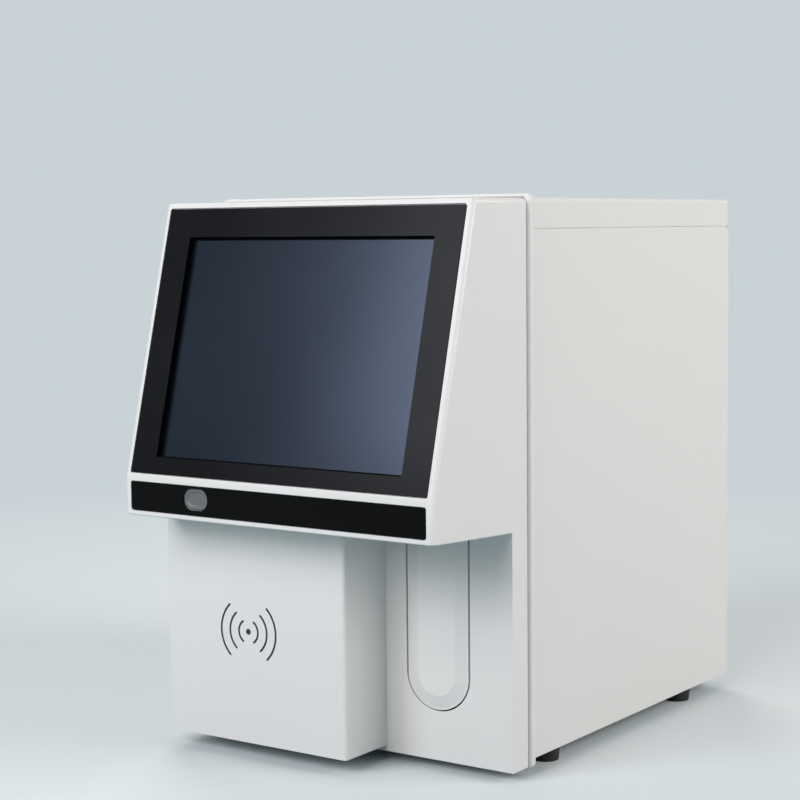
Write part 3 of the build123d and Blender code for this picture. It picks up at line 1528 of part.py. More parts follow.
with BuildPart() as syringe_motor:
    block(
        about(syringe_screw_x, small_motor_size),
        about(syringe_y, small_motor_size),
        (low_shelf[0] - small_motor_length, low_shelf[0]),
    )
    chamfer(syringe_motor.edges().filter_by(Axis.Z), 2.5)
    motor_bore = (syringe_screw_end - fit, low_shelf[0] + over)
    bar("z", screw_radius + slip, screw_line, motor_bore, mode=Mode.SUBTRACT)
syringe_motor.part.label = "syringe_motor"
export_step(syringe_motor.part, "parts/syringe_motor.step")

# Vacuum pump on the chassis floor
pump_y = front_y + pump_setback
pump_z = floor_z + pump_cradle + pump_radius
head_y = (pump_y - pump_length / 2 - pump_head, pump_y - pump_length / 2)
head_z = (floor_z, pump_z + pump_radius + head_over)
with BuildPart() as vacuum_pump:
    bar("y", pump_radius, (pump_x, 0, pump_z), about(pump_y, pump_length))
    block(about(pump_x, 2 * pump_radius), head_y, head_z)
    # Cradle under the motor, and the two hose tails on the head
    block(about(pump_x, 2 * pump_radius), about(pump_y + 15.0, 10.0), (floor_z, pump_z))
    for x in about(pump_x, 16.0):
        bar("z", hose_tail, (x, sum(head_y) / 2, 0), (head_z[1] - over, head_z[1] + hose_tail_out))
vacuum_pump.part.label = "vacuum_pump"
export_step(vacuum_pump.part, "parts/vacuum_pump.step")

# Valve bank: solenoid valves on a manifold
valve_z = floor_z + valve_rise
valve_first = front_y + valve_setback
manifold_left = wall_left - manifold_depth
coil_left = manifold_left - valve_length
with BuildPart() as valve_bank:
    block(
        (manifold_left, wall_left),
        (valve_first - valve_pitch / 2, valve_first + (valve_count - 0.5) * valve_pitch),
        about(valve_z, valve_size + 6.0),
    )
    for number in range(valve_count):
        y = valve_first + number * valve_pitch
        tail_z = (valve_z + valve_size / 2 + over, valve_z + valve_size / 2 + 12.0)
        block((coil_left, manifold_left), about(y, valve_size), about(valve_z, valve_size))
        bar("x", 5.0, (0, y, valve_z), (coil_left - 4.0, coil_left + sink))
        bar("z", 2.2, ((manifold_left + wall_left) / 2, y, 0), tail_z)
valve_bank.part.label = "valve_bank"
export_step(valve_bank.part, "parts/valve_bank.step")

# Main board on standoffs from the service wall
board_right = wall_left - standoff
board_left = board_right - board_thickness
board_y = (front_y + main_board_setback, front_y + main_board_setback + main_board_length)
board_z = (floor_z + main_board_rise, floor_z + main_board_rise + main_board_height)
with BuildPart() as main_board:
    block((board_left, board_right), board_y, board_z)
    for y in about(sum(board_y) / 2, main_board_length - 2 * main_board_inset):
        for z in about(sum(board_z) / 2, main_board_height - 2 * main_board_inset):
            bar("x", post_radius, (0, y, z), (board_right, wall_left))
    # Cooled processor, two rows of sockets, three capacitors and a memory chip
    chip_y = about(board_y[0] + processor_along, processor)
    chip_z = about(board_z[0] + processor_up, processor)
    block((board_left - processor_height, board_left), chip_y, chip_z)
    for row in range(4):
        y = board_y[0] + socket_first + row * socket_pitch
        socket_x = (board_left - socket_out, board_left)
        low_z = about(board_z[0] + socket_inset, socket_body)
        high_z = about(board_z[1] - socket_inset, socket_body)
        block(socket_x, about(y, socket_width_low), low_z)
        block(socket_x, about(y, socket_width_high), high_z)
    for row in range(3):
        y = board_y[0] + capacitor_first + row * capacitor_pitch
        can_x = (board_left - capacitor_height, board_left)
        bar("x", capacitor_radius, (0, y, board_z[0] + capacitor_up), can_x)
    memory_y = about(board_y[0] + memory_along, memory)
    memory_z = about(board_z[0] + memory_up, memory)
    block((board_left - memory_height, board_left), memory_y, memory_z)
main_board.part.label = "main_board"
export_step(main_board.part, "parts/main_board.step")

# Power supply: a perforated case on four spacers
supply_rear = inner_rear_y - supply_gap
supply_y = (supply_rear - supply_length, supply_rear)
supply_z = (floor_z + spacer, floor_z + spacer + supply_height)
with BuildPart() as power_supply:
    block(about(supply_x, supply_width), supply_y, supply_z)
    for x in about(supply_x, supply_width - 2 * supply_spacer_inset):
        for y in about(sum(supply_y) / 2, supply_length - 2 * supply_spacer_end):
            bar("z", spacer, (x, y, 0), (floor_z, supply_z[0]))
    with BuildSketch(Plane.XY.offset(supply_z[1])):
        with Locations((supply_x, sum(supply_y) / 2 - vent_shift)):
            with GridLocations(vent_pitch, vent_pitch, 6, 7):
                Circle(vent_radius)
    extrude(amount=-vent_depth, mode=Mode.SUBTRACT)
    # Terminal row in a recess along the rear edge
    block(
        about(supply_x, supply_width - terminal_rise),
        (supply_y[1] - terminal_depth, supply_y[1] + over),
        (supply_z[0] + terminal_floor, supply_z[1] + over),
        mode=Mode.SUBTRACT,
    )
    for number in range(terminal_count):
        x = supply_x + vent_pitch * (number - (terminal_count - 1) / 2)
        terminal_y = (supply_y[1] - terminal_depth - sink, supply_y[1] - over)
        terminal_z = (supply_z[0] + terminal_floor - sink, supply_z[0] + terminal_floor + terminal_rise)
        block(about(x, terminal_width), terminal_y, terminal_z)
power_supply.part.label = "power_supply"
export_step(power_supply.part, "parts/power_supply.step")
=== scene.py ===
# %% [markdown]
# # A bench-top blood analyzer for animals
# The construction model is loaded first and stays as it is: every panel, rail and screw already has its true
# place. This file gives the pieces the surface of the real materials, and adds the small things that a
# construction drawing leaves plain: rounded edges, spring coils, screw threads, printed marks.

# %% Load the construction model
import json
from math import asin, cos, degrees, pi, radians, sin, tau

import bmesh
import bpy
from mathutils import Matrix, Vector

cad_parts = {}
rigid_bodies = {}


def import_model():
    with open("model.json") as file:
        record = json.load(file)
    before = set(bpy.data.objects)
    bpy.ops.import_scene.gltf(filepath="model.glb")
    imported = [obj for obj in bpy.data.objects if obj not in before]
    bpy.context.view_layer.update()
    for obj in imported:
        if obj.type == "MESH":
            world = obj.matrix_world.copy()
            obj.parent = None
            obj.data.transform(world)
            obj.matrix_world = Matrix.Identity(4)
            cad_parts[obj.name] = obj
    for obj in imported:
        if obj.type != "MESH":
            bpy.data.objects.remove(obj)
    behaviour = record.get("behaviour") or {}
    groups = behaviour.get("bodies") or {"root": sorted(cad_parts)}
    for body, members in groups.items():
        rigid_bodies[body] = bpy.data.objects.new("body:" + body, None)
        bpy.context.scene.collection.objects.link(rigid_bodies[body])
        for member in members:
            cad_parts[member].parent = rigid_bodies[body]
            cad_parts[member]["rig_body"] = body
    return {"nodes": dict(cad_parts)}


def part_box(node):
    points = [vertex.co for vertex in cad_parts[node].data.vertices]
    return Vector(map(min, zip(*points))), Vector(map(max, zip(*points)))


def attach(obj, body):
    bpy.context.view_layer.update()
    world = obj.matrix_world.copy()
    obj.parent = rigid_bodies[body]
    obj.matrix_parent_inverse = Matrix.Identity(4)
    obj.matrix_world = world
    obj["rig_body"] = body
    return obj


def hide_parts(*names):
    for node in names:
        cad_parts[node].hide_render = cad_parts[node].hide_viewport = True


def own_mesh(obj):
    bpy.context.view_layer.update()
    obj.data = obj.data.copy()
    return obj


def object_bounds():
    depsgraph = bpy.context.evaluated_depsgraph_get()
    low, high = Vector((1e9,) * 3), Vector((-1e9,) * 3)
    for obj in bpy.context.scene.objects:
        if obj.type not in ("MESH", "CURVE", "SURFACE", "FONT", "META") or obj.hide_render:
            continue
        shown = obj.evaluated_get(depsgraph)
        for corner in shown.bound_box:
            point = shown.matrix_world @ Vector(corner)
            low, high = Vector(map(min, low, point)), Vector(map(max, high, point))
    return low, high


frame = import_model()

MM = 0.001
cad_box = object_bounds()

# %% [markdown]
# ## The camera
# A picture can be matched only from the place it was taken from. The place was worked out from the corners
# of the display and the housing, whose real distances are known. A camera is turned by three directions:
# where it looks, what is right and what is up. Setting these as the columns of its matrix is clearer than
# angles.

# %% Camera at the photographer's place
PICTURE = 800
FOCAL_PIXELS = 1908.46
yaw, pitch, roll = radians(35.23), radians(5.22), radians(-0.59)
forward = Vector((-sin(yaw) * cos(pitch), cos(yaw) * cos(pitch), -sin(pitch)))
level = Vector((cos(yaw), sin(yaw), 0))
raised = level.cross(forward)
right = cos(roll) * level + sin(roll) * raised
up = cos(roll) * raised - sin(roll) * level
lens = bpy.data.cameras.new("picture_camera")
lens.sensor_width = 36
lens.lens = FOCAL_PIXELS * lens.sensor_width / PICTURE
camera = bpy.data.objects.new("picture_camera", lens)
camera.matrix_world = Matrix((right, up, -forward)).transposed().to_4x4()
camera.location = (0.8139, -1.2258, 0.3842)
bpy.context.scene.collection.objects.link(camera)
bpy.context.scene.camera = camera
bpy.context.scene.view_settings.view_transform = "Standard"
print("lens", round(lens.lens, 1), "mm")

# %% [markdown]
# ## Colours and nodes
# A colour is written as it looks on a screen, and Blender mixes light in linear numbers, so one function
# turns the first into the second. A second function adds a node and fills its sockets. Everything else about
# a material is then plain to read.

# %% Two small tools for materials
def linear(code, share=1.0):
    """A screen colour such as #d8d7d4 as linear red, green, blue and alpha, brighter or darker by a share."""
    parts = [int(code[i : i + 2], 16) / 255 for i in (1, 3, 5)]
    parts = [p / 12.92 if p <= 0.04045 else ((p + 0.055) / 1.055) ** 2.4 for p in parts]
    return (*[p * share for p in parts], 1.0)


def add(tree, kind, sockets=None, **options):
    """Adds a node, sets its options, and gives each named socket a value or a link."""
    node = tree.nodes.new(kind)
    for name, value in options.items():
        setattr(node, name, value)
    for name, value in (sockets or {}).items():
        if isinstance(value, bpy.types.NodeSocket):
            tree.links.new(value, node.inputs[name])
        else:
            node.inputs[name].default_value = value
    return node


def start(name):
    """A new material with an empty node tree, and the place on the piece that its patterns follow."""
    material = bpy.data.materials.new(name)
    material.use_nodes = True
    material.node_tree.nodes.clear()
    place = add(material.node_tree, "ShaderNodeTexCoord").outputs["Object"]
    return material, material.node_tree, place


def close(tree, shader):
    """Joins the finished shader to the material's output."""
    add(tree, "ShaderNodeOutputMaterial", {"Surface": shader.outputs[0]})


def per_mm(size):
    """Texture scale at which one noise cell is about this many millimetres wide."""
    return 1 / (size * MM)


print("white wall paint #e8e8e8 is", [round(c, 2) for c in linear("#e8e8e8")[:3]], "in linear light")

# %% [markdown]
# ## Floor, sky and lamps
# A white instrument needs soft light from all around, or its sides turn grey. Here an even sky gives a weak
# light everywhere, and four soft lamps do the rest. One at the right and behind lifts the side, and leaves
# the nook beside the start plate in shade. One above the front lights the housing and lets the shade in the
# nook fade downwards. A small one at the left stands where the display mirrors it, as a soft sheen at its
# right edge. One behind at the left keeps the far sides from going grey. The floor is pale and plain. The
# light that falls on things sees it darker than the eye does, or it would throw too much light up under the
# nose. It takes the soft shadow that says the feet stand on it, and further out it fades into the
# backdrop's colour, so that no horizon cuts the picture.

# %% Sky and floor
SKY = 0.28
BACKDROP = "#c9d3d7"
FLOOR_RADIUS = 40
FADE = (0.45, 1.5)


def seen_rays(tree):
    """1 for the rays of the camera, of gloss and of clear glass, 0 for the light that falls on things."""
    path = add(tree, "ShaderNodeLightPath")
    gloss = add(tree, "ShaderNodeMath", {0: path.outputs["Is Camera Ray"], 1: path.outputs["Is Glossy Ray"]},
                operation="MAXIMUM")
    return add(tree, "ShaderNodeMath", {0: gloss.outputs[0], 1: path.outputs["Is Transmission Ray"]},
               operation="MAXIMUM").outputs[0]


sky = bpy.data.worlds.new("soft_sky")
sky.use_nodes = True
sky.node_tree.nodes.clear()
ambient = add(sky.node_tree, "ShaderNodeBackground", {"Color": linear("#f6fcff"), "Strength": SKY})
backdrop = add(sky.node_tree, "ShaderNodeBackground", {"Color": linear(BACKDROP), "Strength": 1.0})
both = add(sky.node_tree, "ShaderNodeMixShader", {0: seen_rays(sky.node_tree), 1: ambient.outputs[0],
           2: backdrop.outputs[0]})
add(sky.node_tree, "ShaderNodeOutputWorld", {"Surface": both.outputs[0]})
bpy.context.scene.world = sky

floor_mesh = bmesh.new()
bmesh.ops.create_circle(floor_mesh, cap_ends=True, segments=96, radius=FLOOR_RADIUS)
floor_data = bpy.data.meshes.new("floor")
floor_mesh.to_mesh(floor_data)
floor_mesh.free()
floor = bpy.data.objects.new("floor", floor_data)
bpy.context.scene.collection.objects.link(floor)
floor_paint, tree, place = start("matt_floor_paint")
away = add(tree, "ShaderNodeVectorMath", {0: place}, operation="LENGTH")
fade = add(tree, "ShaderNodeMapRange", {"Value": away.outputs["Value"], "From Min": FADE[0],
           "From Max": FADE[1]}, interpolation_type="SMOOTHSTEP")
fade = add(tree, "ShaderNodeMath", {0: fade.outputs[0], 1: seen_rays(tree)}, operation="MULTIPLY")
cloud = add(tree, "ShaderNodeTexNoise", {"Vector": place, "Scale": 1.5, "Detail": 2.0})
tint = add(tree, "ShaderNodeMix", {0: cloud.outputs[0], 6: linear("#ced6d9"), 7: linear("#d2dadc")},
           data_type="RGBA")
dimmer = add(tree, "ShaderNodeMix", {0: seen_rays(tree), 6: linear("#86a0a6"), 7: tint.outputs[2]},
             data_type="RGBA")
near = add(tree, "ShaderNodeBsdfPrincipled", {"Base Color": dimmer.outputs[2], "Roughness": 0.8,
           "Specular IOR Level": 0.2})
far = add(tree, "ShaderNodeEmission", {"Color": linear(BACKDROP), "Strength": 1.0})
close(tree, add(tree, "ShaderNodeMixShader", {0: fade.outputs[0], 1: near.outputs[0], 2: far.outputs[0]}))
floor_data.materials.append(floor_paint)
print("floor radius", FLOOR_RADIUS, "m, sky strength", SKY)


# %% Four lamps
def lamp(name, place, target, size, watts, colour):
    """A square soft lamp of this size in metres that shines at a point."""
    data = bpy.data.lights.new(name, "AREA")
    data.shape = "SQUARE"
    data.size = size
    data.energy = watts
    data.color = linear(colour)[:3]
    holder = bpy.data.objects.new(name, data)
    holder.location = place
    holder.rotation_euler = (Vector(target) - Vector(place)).to_track_quat("-Z", "Y").to_euler()
    bpy.context.scene.collection.objects.link(holder)
    return holder


middle = (cad_box[0] + cad_box[1]) / 2
lamp("side_lamp", (2.1, 0.6, 1.1), middle, 1.4, 41, "#fff8f4")
lamp("front_lamp", (0.02, -2.05, 1.3), middle, 1.5, 30, "#fff9f5")
lamp("display_lamp", (-0.75, -1.72, 1.02), (0, -0.17, 0.29), 0.6, 12, "#f2f6ff")
lamp("rear_lamp", (-1.7, 1.7, 1.5), middle, 1.5, 34, "#fffaf6")
print("lamps aim at", [round(c, 3) for c in middle])

# %% [markdown]
# ## Moulded and painted surfaces
# Moulded ABS comes out of a spark-eroded mould with a very fine matt grain, and powder coat flows out with a
# faint orange peel. Both grains are finer than a pixel here, so each is drawn at about a millimetre, just
# strong enough to soften the highlights. A broad, weak drift of tone and gloss keeps large panels alive.

# %% A matt grained surface
def grained(name, colour, roughness, grain, relief, tone=0.012, drift=0.04, **shader):
    """grain and relief are the width and depth of the surface's texture in millimetres."""
    material, tree, place = start(name)
    broad = add(tree, "ShaderNodeTexNoise", {"Vector": place, "Scale": per_mm(110), "Detail": 3.0})
    fine = add(tree, "ShaderNodeTexNoise", {"Vector": place, "Scale": per_mm(grain), "Detail": 2.0})
    tint = add(tree, "ShaderNodeMix", {0: broad.outputs[0], 6: linear(colour, 1 - tone),
               7: linear(colour, 1 + tone)}, data_type="RGBA")
    gloss = add(tree, "ShaderNodeMapRange", {"Value": broad.outputs[0], "From Min": 0.3, "From Max": 0.7,
                "To Min": roughness - drift, "To Max": roughness + drift})
    relief_node = add(tree, "ShaderNodeBump", {"Height": fine.outputs[0], "Distance": relief * MM,
                      "Strength": 0.5})
    close(tree, add(tree, "ShaderNodeBsdfPrincipled", {"Base Color": tint.outputs[2],
                    "Roughness": gloss.outputs[0], "Normal": relief_node.outputs[0], **shader}))
    return material


# Bright cool white with a soft sheen: the front housing, its frame, the reader cover, the start plate
moulded_abs = grained("moulded_abs_white", "#dbd9d8", 0.42, 1.1, 0.008)
# A touch warmer, slightly uneven: the sheet-metal body
powder_coat = grained("powder_coat_off_white", "#dad8d6", 0.6, 2.2, 0.02, **{"Specular IOR Level": 0.3})
# Satin charcoal that goes brownish where light grazes it: the bezel round the display
bezel_plastic = grained("moulded_pc_charcoal", "#06070a", 0.28, 0.9, 0.01, tone=0.05,
                        **{"Specular IOR Level": 0.09})
# Hard-coated sheet, nearly black, with a clean reflection: the strip under the display
strip_acrylic = grained("hard_coated_acrylic_black", "#060708", 0.24, 4.0, 0.002, tone=0.05,
                        **{"Specular IOR Level": 0.07})
# Dull black with a chalky bloom: the feet
foot_rubber = grained("moulded_rubber_black", "#0f1011", 0.75, 1.0, 0.03, tone=0.12)
# Satin plastics and enamel inside and at the rear: black, white, milky, and a dull rubber belt
black_abs = grained("moulded_abs_black", "#1a1b1d", 0.45, 0.8, 0.01, tone=0.06)
motor_paint = grained("baked_enamel_black", "#1d1e20", 0.35, 1.5, 0.01, tone=0.06)
acetal = grained("machined_acetal_white", "#e4e3dd", 0.38, 0.7, 0.006)
tube_plastic = grained("moulded_pvdf_natural", "#e6e2d4", 0.34, 1.2, 0.006,
                       **{"Subsurface Weight": 0.25, "Subsurface Radius": (0.004, 0.0035, 0.0025)})
belt_rubber = grained("moulded_neoprene_belt", "#202122", 0.6, 0.6, 0.02, tone=0.1)
print(len(bpy.data.materials), "materials so far")

# %% [markdown]
# ## Metals
# Rolled steel shows long fine lines from the rolls, zinc shows a patchwork of crystals, and a drawn or
# ground part shows rings or lines round its length. In all of them the lines live in the roughness and a
# shallow bump, and the colour hardly changes.

# %% Rolled, galvanised and machined metals
def rolled(name, colour, roughness, line, length, relief, spread=0.1):
    """Metal with fine lines along Z, line wide and length long, in millimetres."""
    material, tree, place = start(name)
    stretch = add(tree, "ShaderNodeMapping", {"Vector": place,
                  "Scale": (per_mm(line), per_mm(line), per_mm(length))})
    lines = add(tree, "ShaderNodeTexNoise", {"Vector": stretch.outputs[0], "Scale": 1.0, "Detail": 4.0})
    gloss = add(tree, "ShaderNodeMapRange", {"Value": lines.outputs[0], "From Min": 0.3, "From Max": 0.7,
                "To Min": roughness - spread, "To Max": roughness + spread})
    tint = add(tree, "ShaderNodeMix", {0: lines.outputs[0], 6: linear(colour, 0.94),
               7: linear(colour, 1.03)}, data_type="RGBA")
    ridges = add(tree, "ShaderNodeBump", {"Height": lines.outputs[0], "Distance": relief * MM,
                 "Strength": 0.4})
    close(tree, add(tree, "ShaderNodeBsdfPrincipled", {"Base Color": tint.outputs[2], "Metallic": 1.0,
                    "Roughness": gloss.outputs[0], "Normal": ridges.outputs[0]}))
    return material


def spangled(name, colour, roughness, crystal):
    """Galvanised sheet, whose zinc crystals are this many millimetres wide."""
    material, tree, place = start(name)
    cells = add(tree, "ShaderNodeTexVoronoi", {"Vector": place, "Scale": per_mm(crystal)})
    tint = add(tree, "ShaderNodeMix", {0: cells.outputs["Distance"], 6: linear(colour, 0.9),
               7: linear(colour, 1.04)}, data_type="RGBA")
    gloss = add(tree, "ShaderNodeMapRange", {"Value": cells.outputs["Distance"], "From Max": 0.8,
                "To Min": roughness - 0.06, "To Max": roughness + 0.1})
    close(tree, add(tree, "ShaderNodeBsdfPrincipled", {"Base Color": tint.outputs[2], "Metallic": 1.0,
                    "Roughness": gloss.outputs[0]}))
    return material


# Bluish grey with a faint patchwork: base tray, brackets
zinc_sheet = spangled("galvanised_steel_sheet", "#b4b8bc", 0.36, 6.0)
# Bright and lightly lined: screws, rails, pins, the probe
bright_steel = rolled("ground_stainless_steel", "#c3c4c6", 0.24, 0.4, 14, 0.004)
# Silky light grey: plates, pulleys and the syringe's frame
machined_aluminium = rolled("milled_aluminium", "#cfd1d3", 0.32, 0.5, 20, 0.006)
# Dark fins and heat sinks
black_anodised = rolled("black_anodised_aluminium", "#1b1c1e", 0.38, 0.5, 12, 0.006)
# Thin metal shells of the sockets, and their contacts
nickel_shell = rolled("nickel_plated_steel", "#c9c6bf", 0.28, 0.6, 8, 0.003)
contact_brass = rolled("plated_brass", "#c9a655", 0.28, 0.4, 6, 0.003)
print(len(bpy.data.materials), "materials so far")

# %% [markdown]
# ## Glass, lens and boards
# The display's glass has an anti-glare etch: it shows no sharp reflection, only a cloudy sheen that grows
# towards the lamp. The button is a frosted lens. Circuit boards are green solder mask over copper, so their
# tracks are the same green a little lighter and slightly raised.

# %% Clear and frosted surfaces
def clear(name, colour, roughness, ior):
    """Clear solid plastic or glass with faint, uneven gloss."""
    material, tree, place = start(name)
    broad = add(tree, "ShaderNodeTexNoise", {"Vector": place, "Scale": per_mm(30), "Detail": 2.0})
    gloss = add(tree, "ShaderNodeMapRange", {"Value": broad.outputs[0], "To Min": roughness,
                "To Max": roughness + 0.04})
    close(tree, add(tree, "ShaderNodeBsdfPrincipled", {"Base Color": linear(colour), "IOR": ior,
                    "Transmission Weight": 1.0, "Roughness": gloss.outputs[0]}))
    return material


# Bluish at its edges, fully clear through its faces
clear_acrylic = clear("machined_acrylic", "#f2f8fa", 0.03, 1.49)
syringe_glass = clear("borosilicate_glass", "#f6fbf8", 0.02, 1.47)
# Dark blue-grey and cloudy: the etched glass over a display that is off
etched_glass = grained("anti_glare_glass", "#030c16", 0.22, 1.0, 0.004, tone=0.03, drift=0.02,
                       **{"Specular IOR Level": 0.34, "Specular Tint": linear("#cfdfff")})
# Grey and milky, a little light passes into it: the power button's lens
frosted_lens = grained("frosted_polycarbonate", "#606365", 0.45, 0.8, 0.004,
                       **{"Subsurface Weight": 0.4, "Subsurface Radius": (0.003, 0.003, 0.003)})
# Dull dark sheet: the frame of the display's panel
panel_metal = grained("display_panel_frame", "#2c2e31", 0.4, 1.2, 0.004)


# %% Printed circuit boards
def board(name, turn):
    """Green solder mask with tracks, turned so that the pattern's plane lies in the board."""
    material, tree, place = start(name)
    turned = add(tree, "ShaderNodeMapping", {"Vector": place, "Rotation": turn})
    tracks = add(tree, "ShaderNodeTexBrick", {"Vector": turned.outputs[0], "Scale": per_mm(10),
                 "Mortar Size": 0.04, "Brick Width": 1.7, "Row Height": 0.22, "Color1": (1, 1, 1, 1),
                 "Color2": (1, 1, 1, 1), "Mortar": (0, 0, 0, 1)}, offset=0.37, squash=0.6)
    cloud = add(tree, "ShaderNodeTexNoise", {"Vector": place, "Scale": per_mm(25), "Detail": 2.0})
    tint = add(tree, "ShaderNodeMix", {0: tracks.outputs["Fac"], 6: linear("#1d6b45"),
               7: linear("#0f4a30")}, data_type="RGBA")
    gloss = add(tree, "ShaderNodeMapRange", {"Value": cloud.outputs[0], "To Min": 0.22, "To Max": 0.4})
    edge = add(tree, "ShaderNodeBump", {"Height": tracks.outputs["Fac"], "Distance": 0.03 * MM,
               "Strength": 0.5}, invert=True)
    close(tree, add(tree, "ShaderNodeBsdfPrincipled", {"Base Color": tint.outputs[2],
                    "Roughness": gloss.outputs[0], "Normal": edge.outputs[0]}))
    return material


board_upright_side = board("solder_mask_green_side", (0, radians(90), 0))
board_upright_front = board("solder_mask_green_front", (radians(90), 0, 0))
board_flat = board("solder_mask_green_flat", (0, 0, 0))
# Dull black chips, shiny blue sleeves, cream sockets
chip_epoxy = grained("moulded_epoxy_black", "#141516", 0.55, 0.5, 0.01, tone=0.08)
can_sleeve = grained("capacitor_sleeve_blue", "#1c2f57", 0.3, 2.0, 0.004)
socket_nylon = grained("moulded_nylon_cream", "#d8d2bd", 0.5, 0.8, 0.006)
print(len(bpy.data.materials), "materials in all")

# %% [markdown]
# ## Dressing the pieces
# A construction model has knife-sharp edges. Real mouldings and folded sheets don't: each edge is rounded
# by a few tenths of a millimetre, and that thin band of light is what makes a picture look real. One way is
# to draw the rounding in the material, but then the mesh itself stays sharp. Here a copy of the piece is
# merged, its flat areas are made whole again, and a Bevel modifier rounds the long outward edges. A weight
# on each edge says which, because a bevel wider than the short sides of a small hole would fold over
# itself.


def paint(node, material):
    """Keeps the construction piece's own mesh and gives it a finish."""
    frame["nodes"][node].material_slots[0].material = material


def place_piece(name, mesh, body, materials):
    """Links a finished mesh to the scene as a piece that rides on a body."""
    piece = bpy.data.objects.new(name, mesh)
    bpy.context.scene.collection.objects.link(piece)
    for material in materials:
        mesh.materials.append(material)
    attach(piece, body)
    return piece


def inside(point, region):
    """True if a point lies in a box given by limits in millimetres along x, y and z."""
    return all(low * MM <= value <= high * MM for value, (low, high) in zip(point, region))


def remake(node, material, edge=0.0, steps=2, least=4.0, bold=None, edge_finish=None, regions=(), dropped=(),
           sunk=(), sharp_over=30):
    """A merged copy of a node with rounded edges, which stands for it. Only edges longer than least times the
    rounding get it, and those in the bold box get another width. A region is a box in millimetres with the
    material of the faces in it, a dropped box loses its faces, and the largest face in a sunk box is pushed
    in, inside a rim and down a wall of some width and depth. Edges sharper than sharp_over degrees look
    sharp."""
    source = frame["nodes"][node]
    shape = bmesh.new()
    shape.from_mesh(source.data)
    bmesh.ops.remove_doubles(shape, verts=shape.verts, dist=0.002 * MM)
    bmesh.ops.dissolve_limit(shape, angle_limit=radians(0.3), verts=shape.verts, edges=shape.edges)
    centres = [(face, face.calc_center_median()) for face in shape.faces]
    gone = [face for face, centre in centres if any(inside(centre, region) for region in dropped)]
    bmesh.ops.delete(shape, geom=gone, context="FACES")
    for region, rim, wall, depth in sunk:
        face = max((face for face in shape.faces if inside(face.calc_center_median(), region)),
                   key=lambda face: face.calc_area())
        for width, drop in ((rim, 0.0), (wall, depth)):
            bmesh.ops.inset_individual(shape, faces=[face], thickness=0)
            centre, push = face.calc_center_bounds(), face.normal * drop * MM
            reach = [max(abs(corner.co[i] - centre[i]) for corner in face.verts) for i in range(3)]
            share = Vector([1 - width * MM / max(width * MM, way) for way in reach])
            for corner in face.verts:
                corner.co = centre + (corner.co - centre) * share - push
    rounded = shape.edges.layers.float.new("bevel_weight_edge")
    bold_box, bold_edge = bold or ((), edge)
    widest = max(edge, bold_edge)
    for line in shape.edges:
        if widest and line.is_manifold and line.is_convex and line.calc_face_angle() > radians(40):
            chosen = bold and all(inside(corner.co, bold_box) for corner in line.verts)
            width = bold_edge if chosen else edge
            line[rounded] = width / widest if line.calc_length() > least * width * MM else 0.0
    for face in shape.faces:
        face.material_index = 0
        face.smooth = True
        centre = face.calc_center_median()
        for number, region in enumerate(regions, 1):
            if inside(centre, region[0]):
                face.material_index = number
    mesh = bpy.data.meshes.new(node + "_skin")
    shape.to_mesh(mesh)
    shape.free()
    stored = mesh.attributes.get("custom_normal")
    if stored:
        mesh.attributes.remove(stored)
    mesh.set_sharp_from_angle(angle=radians(sharp_over))
    finishes = [material] + [region[1] for region in regions] + [edge_finish] * bool(edge_finish)
    piece = place_piece(node + "_skin", mesh, source["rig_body"], finishes)
    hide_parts(node)
    if widest:
        rounding = piece.modifiers.new("rounded_edges", "BEVEL")
        rounding.width = widest * MM
        rounding.segments = steps
        rounding.limit_method = "WEIGHT"
        rounding.use_clamp_overlap = False
        rounding.material = len(finishes) - 1 if edge_finish else -1
    if widest or sunk:
        shading = piece.modifiers.new("even_shading", "WEIGHTED_NORMAL")
        shading.keep_sharp = True
    return piece


# %% [markdown]
# ## The moulded front
# The front housing, the joint frame behind it, the reader cover and the start plate are white mouldings
# with edges rounded by about half a millimetre. The frame's front edge is rounder, over a millimetre, so
# that a hand can rest on it. The start plate is crowned: its middle stands proud of a flat rim, and the
# light tells its flanks apart. That slope is shallow, so its edges are kept sharp from a small angle on.

# %% Housing, frame, cover and start plate
remake("front_housing", moulded_abs, edge=0.4)
frame_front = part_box("joint_frame")[0][1] / MM
remake("joint_frame", moulded_abs, edge=0.3, steps=5, least=0.0,
       bold=(((-200, 200), (frame_front - 0.1, frame_front + 0.1), (0, 500)), 1.3))
remake("reader_cover", moulded_abs, edge=0.5)
crown_height = 2.4
plate_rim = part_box("start_plate")[0][1] / MM + crown_height
remake("start_plate", moulded_abs, edge=0.2, sharp_over=8, bold=(((-200, 200), (plate_rim - 0.1,
       plate_rim + 0.1), (0, 500)), 0.45))
paint("start_plate_pin", bright_steel)
print("front mouldings dressed")

# %% [markdown]
# ## Tools for added pieces
# Small parts such as fins, pins and printed marks are made of blocks, rods and turned profiles. A block is a
# unit cube that a matrix sets to its limits. A turned part is a profile that the spin operator carries round
# an axis, and with a step along the axis the same operator winds a coil or cuts a thread.

# %% Blocks, spins and finished pieces
def block(shape, x, y, z, number=0):
    """Adds a box between limits in millimetres. Its faces take the material of that number."""
    limits = (x, y, z)
    size = Vector([(high - low) * MM for low, high in limits])
    centre = Vector([(low + high) / 2 * MM for low, high in limits])
    made = bmesh.ops.create_cube(shape, size=1, matrix=Matrix.LocRotScale(centre, None, size))
    for face in {face for corner in made["verts"] for face in corner.link_faces}:
        face.material_index = number


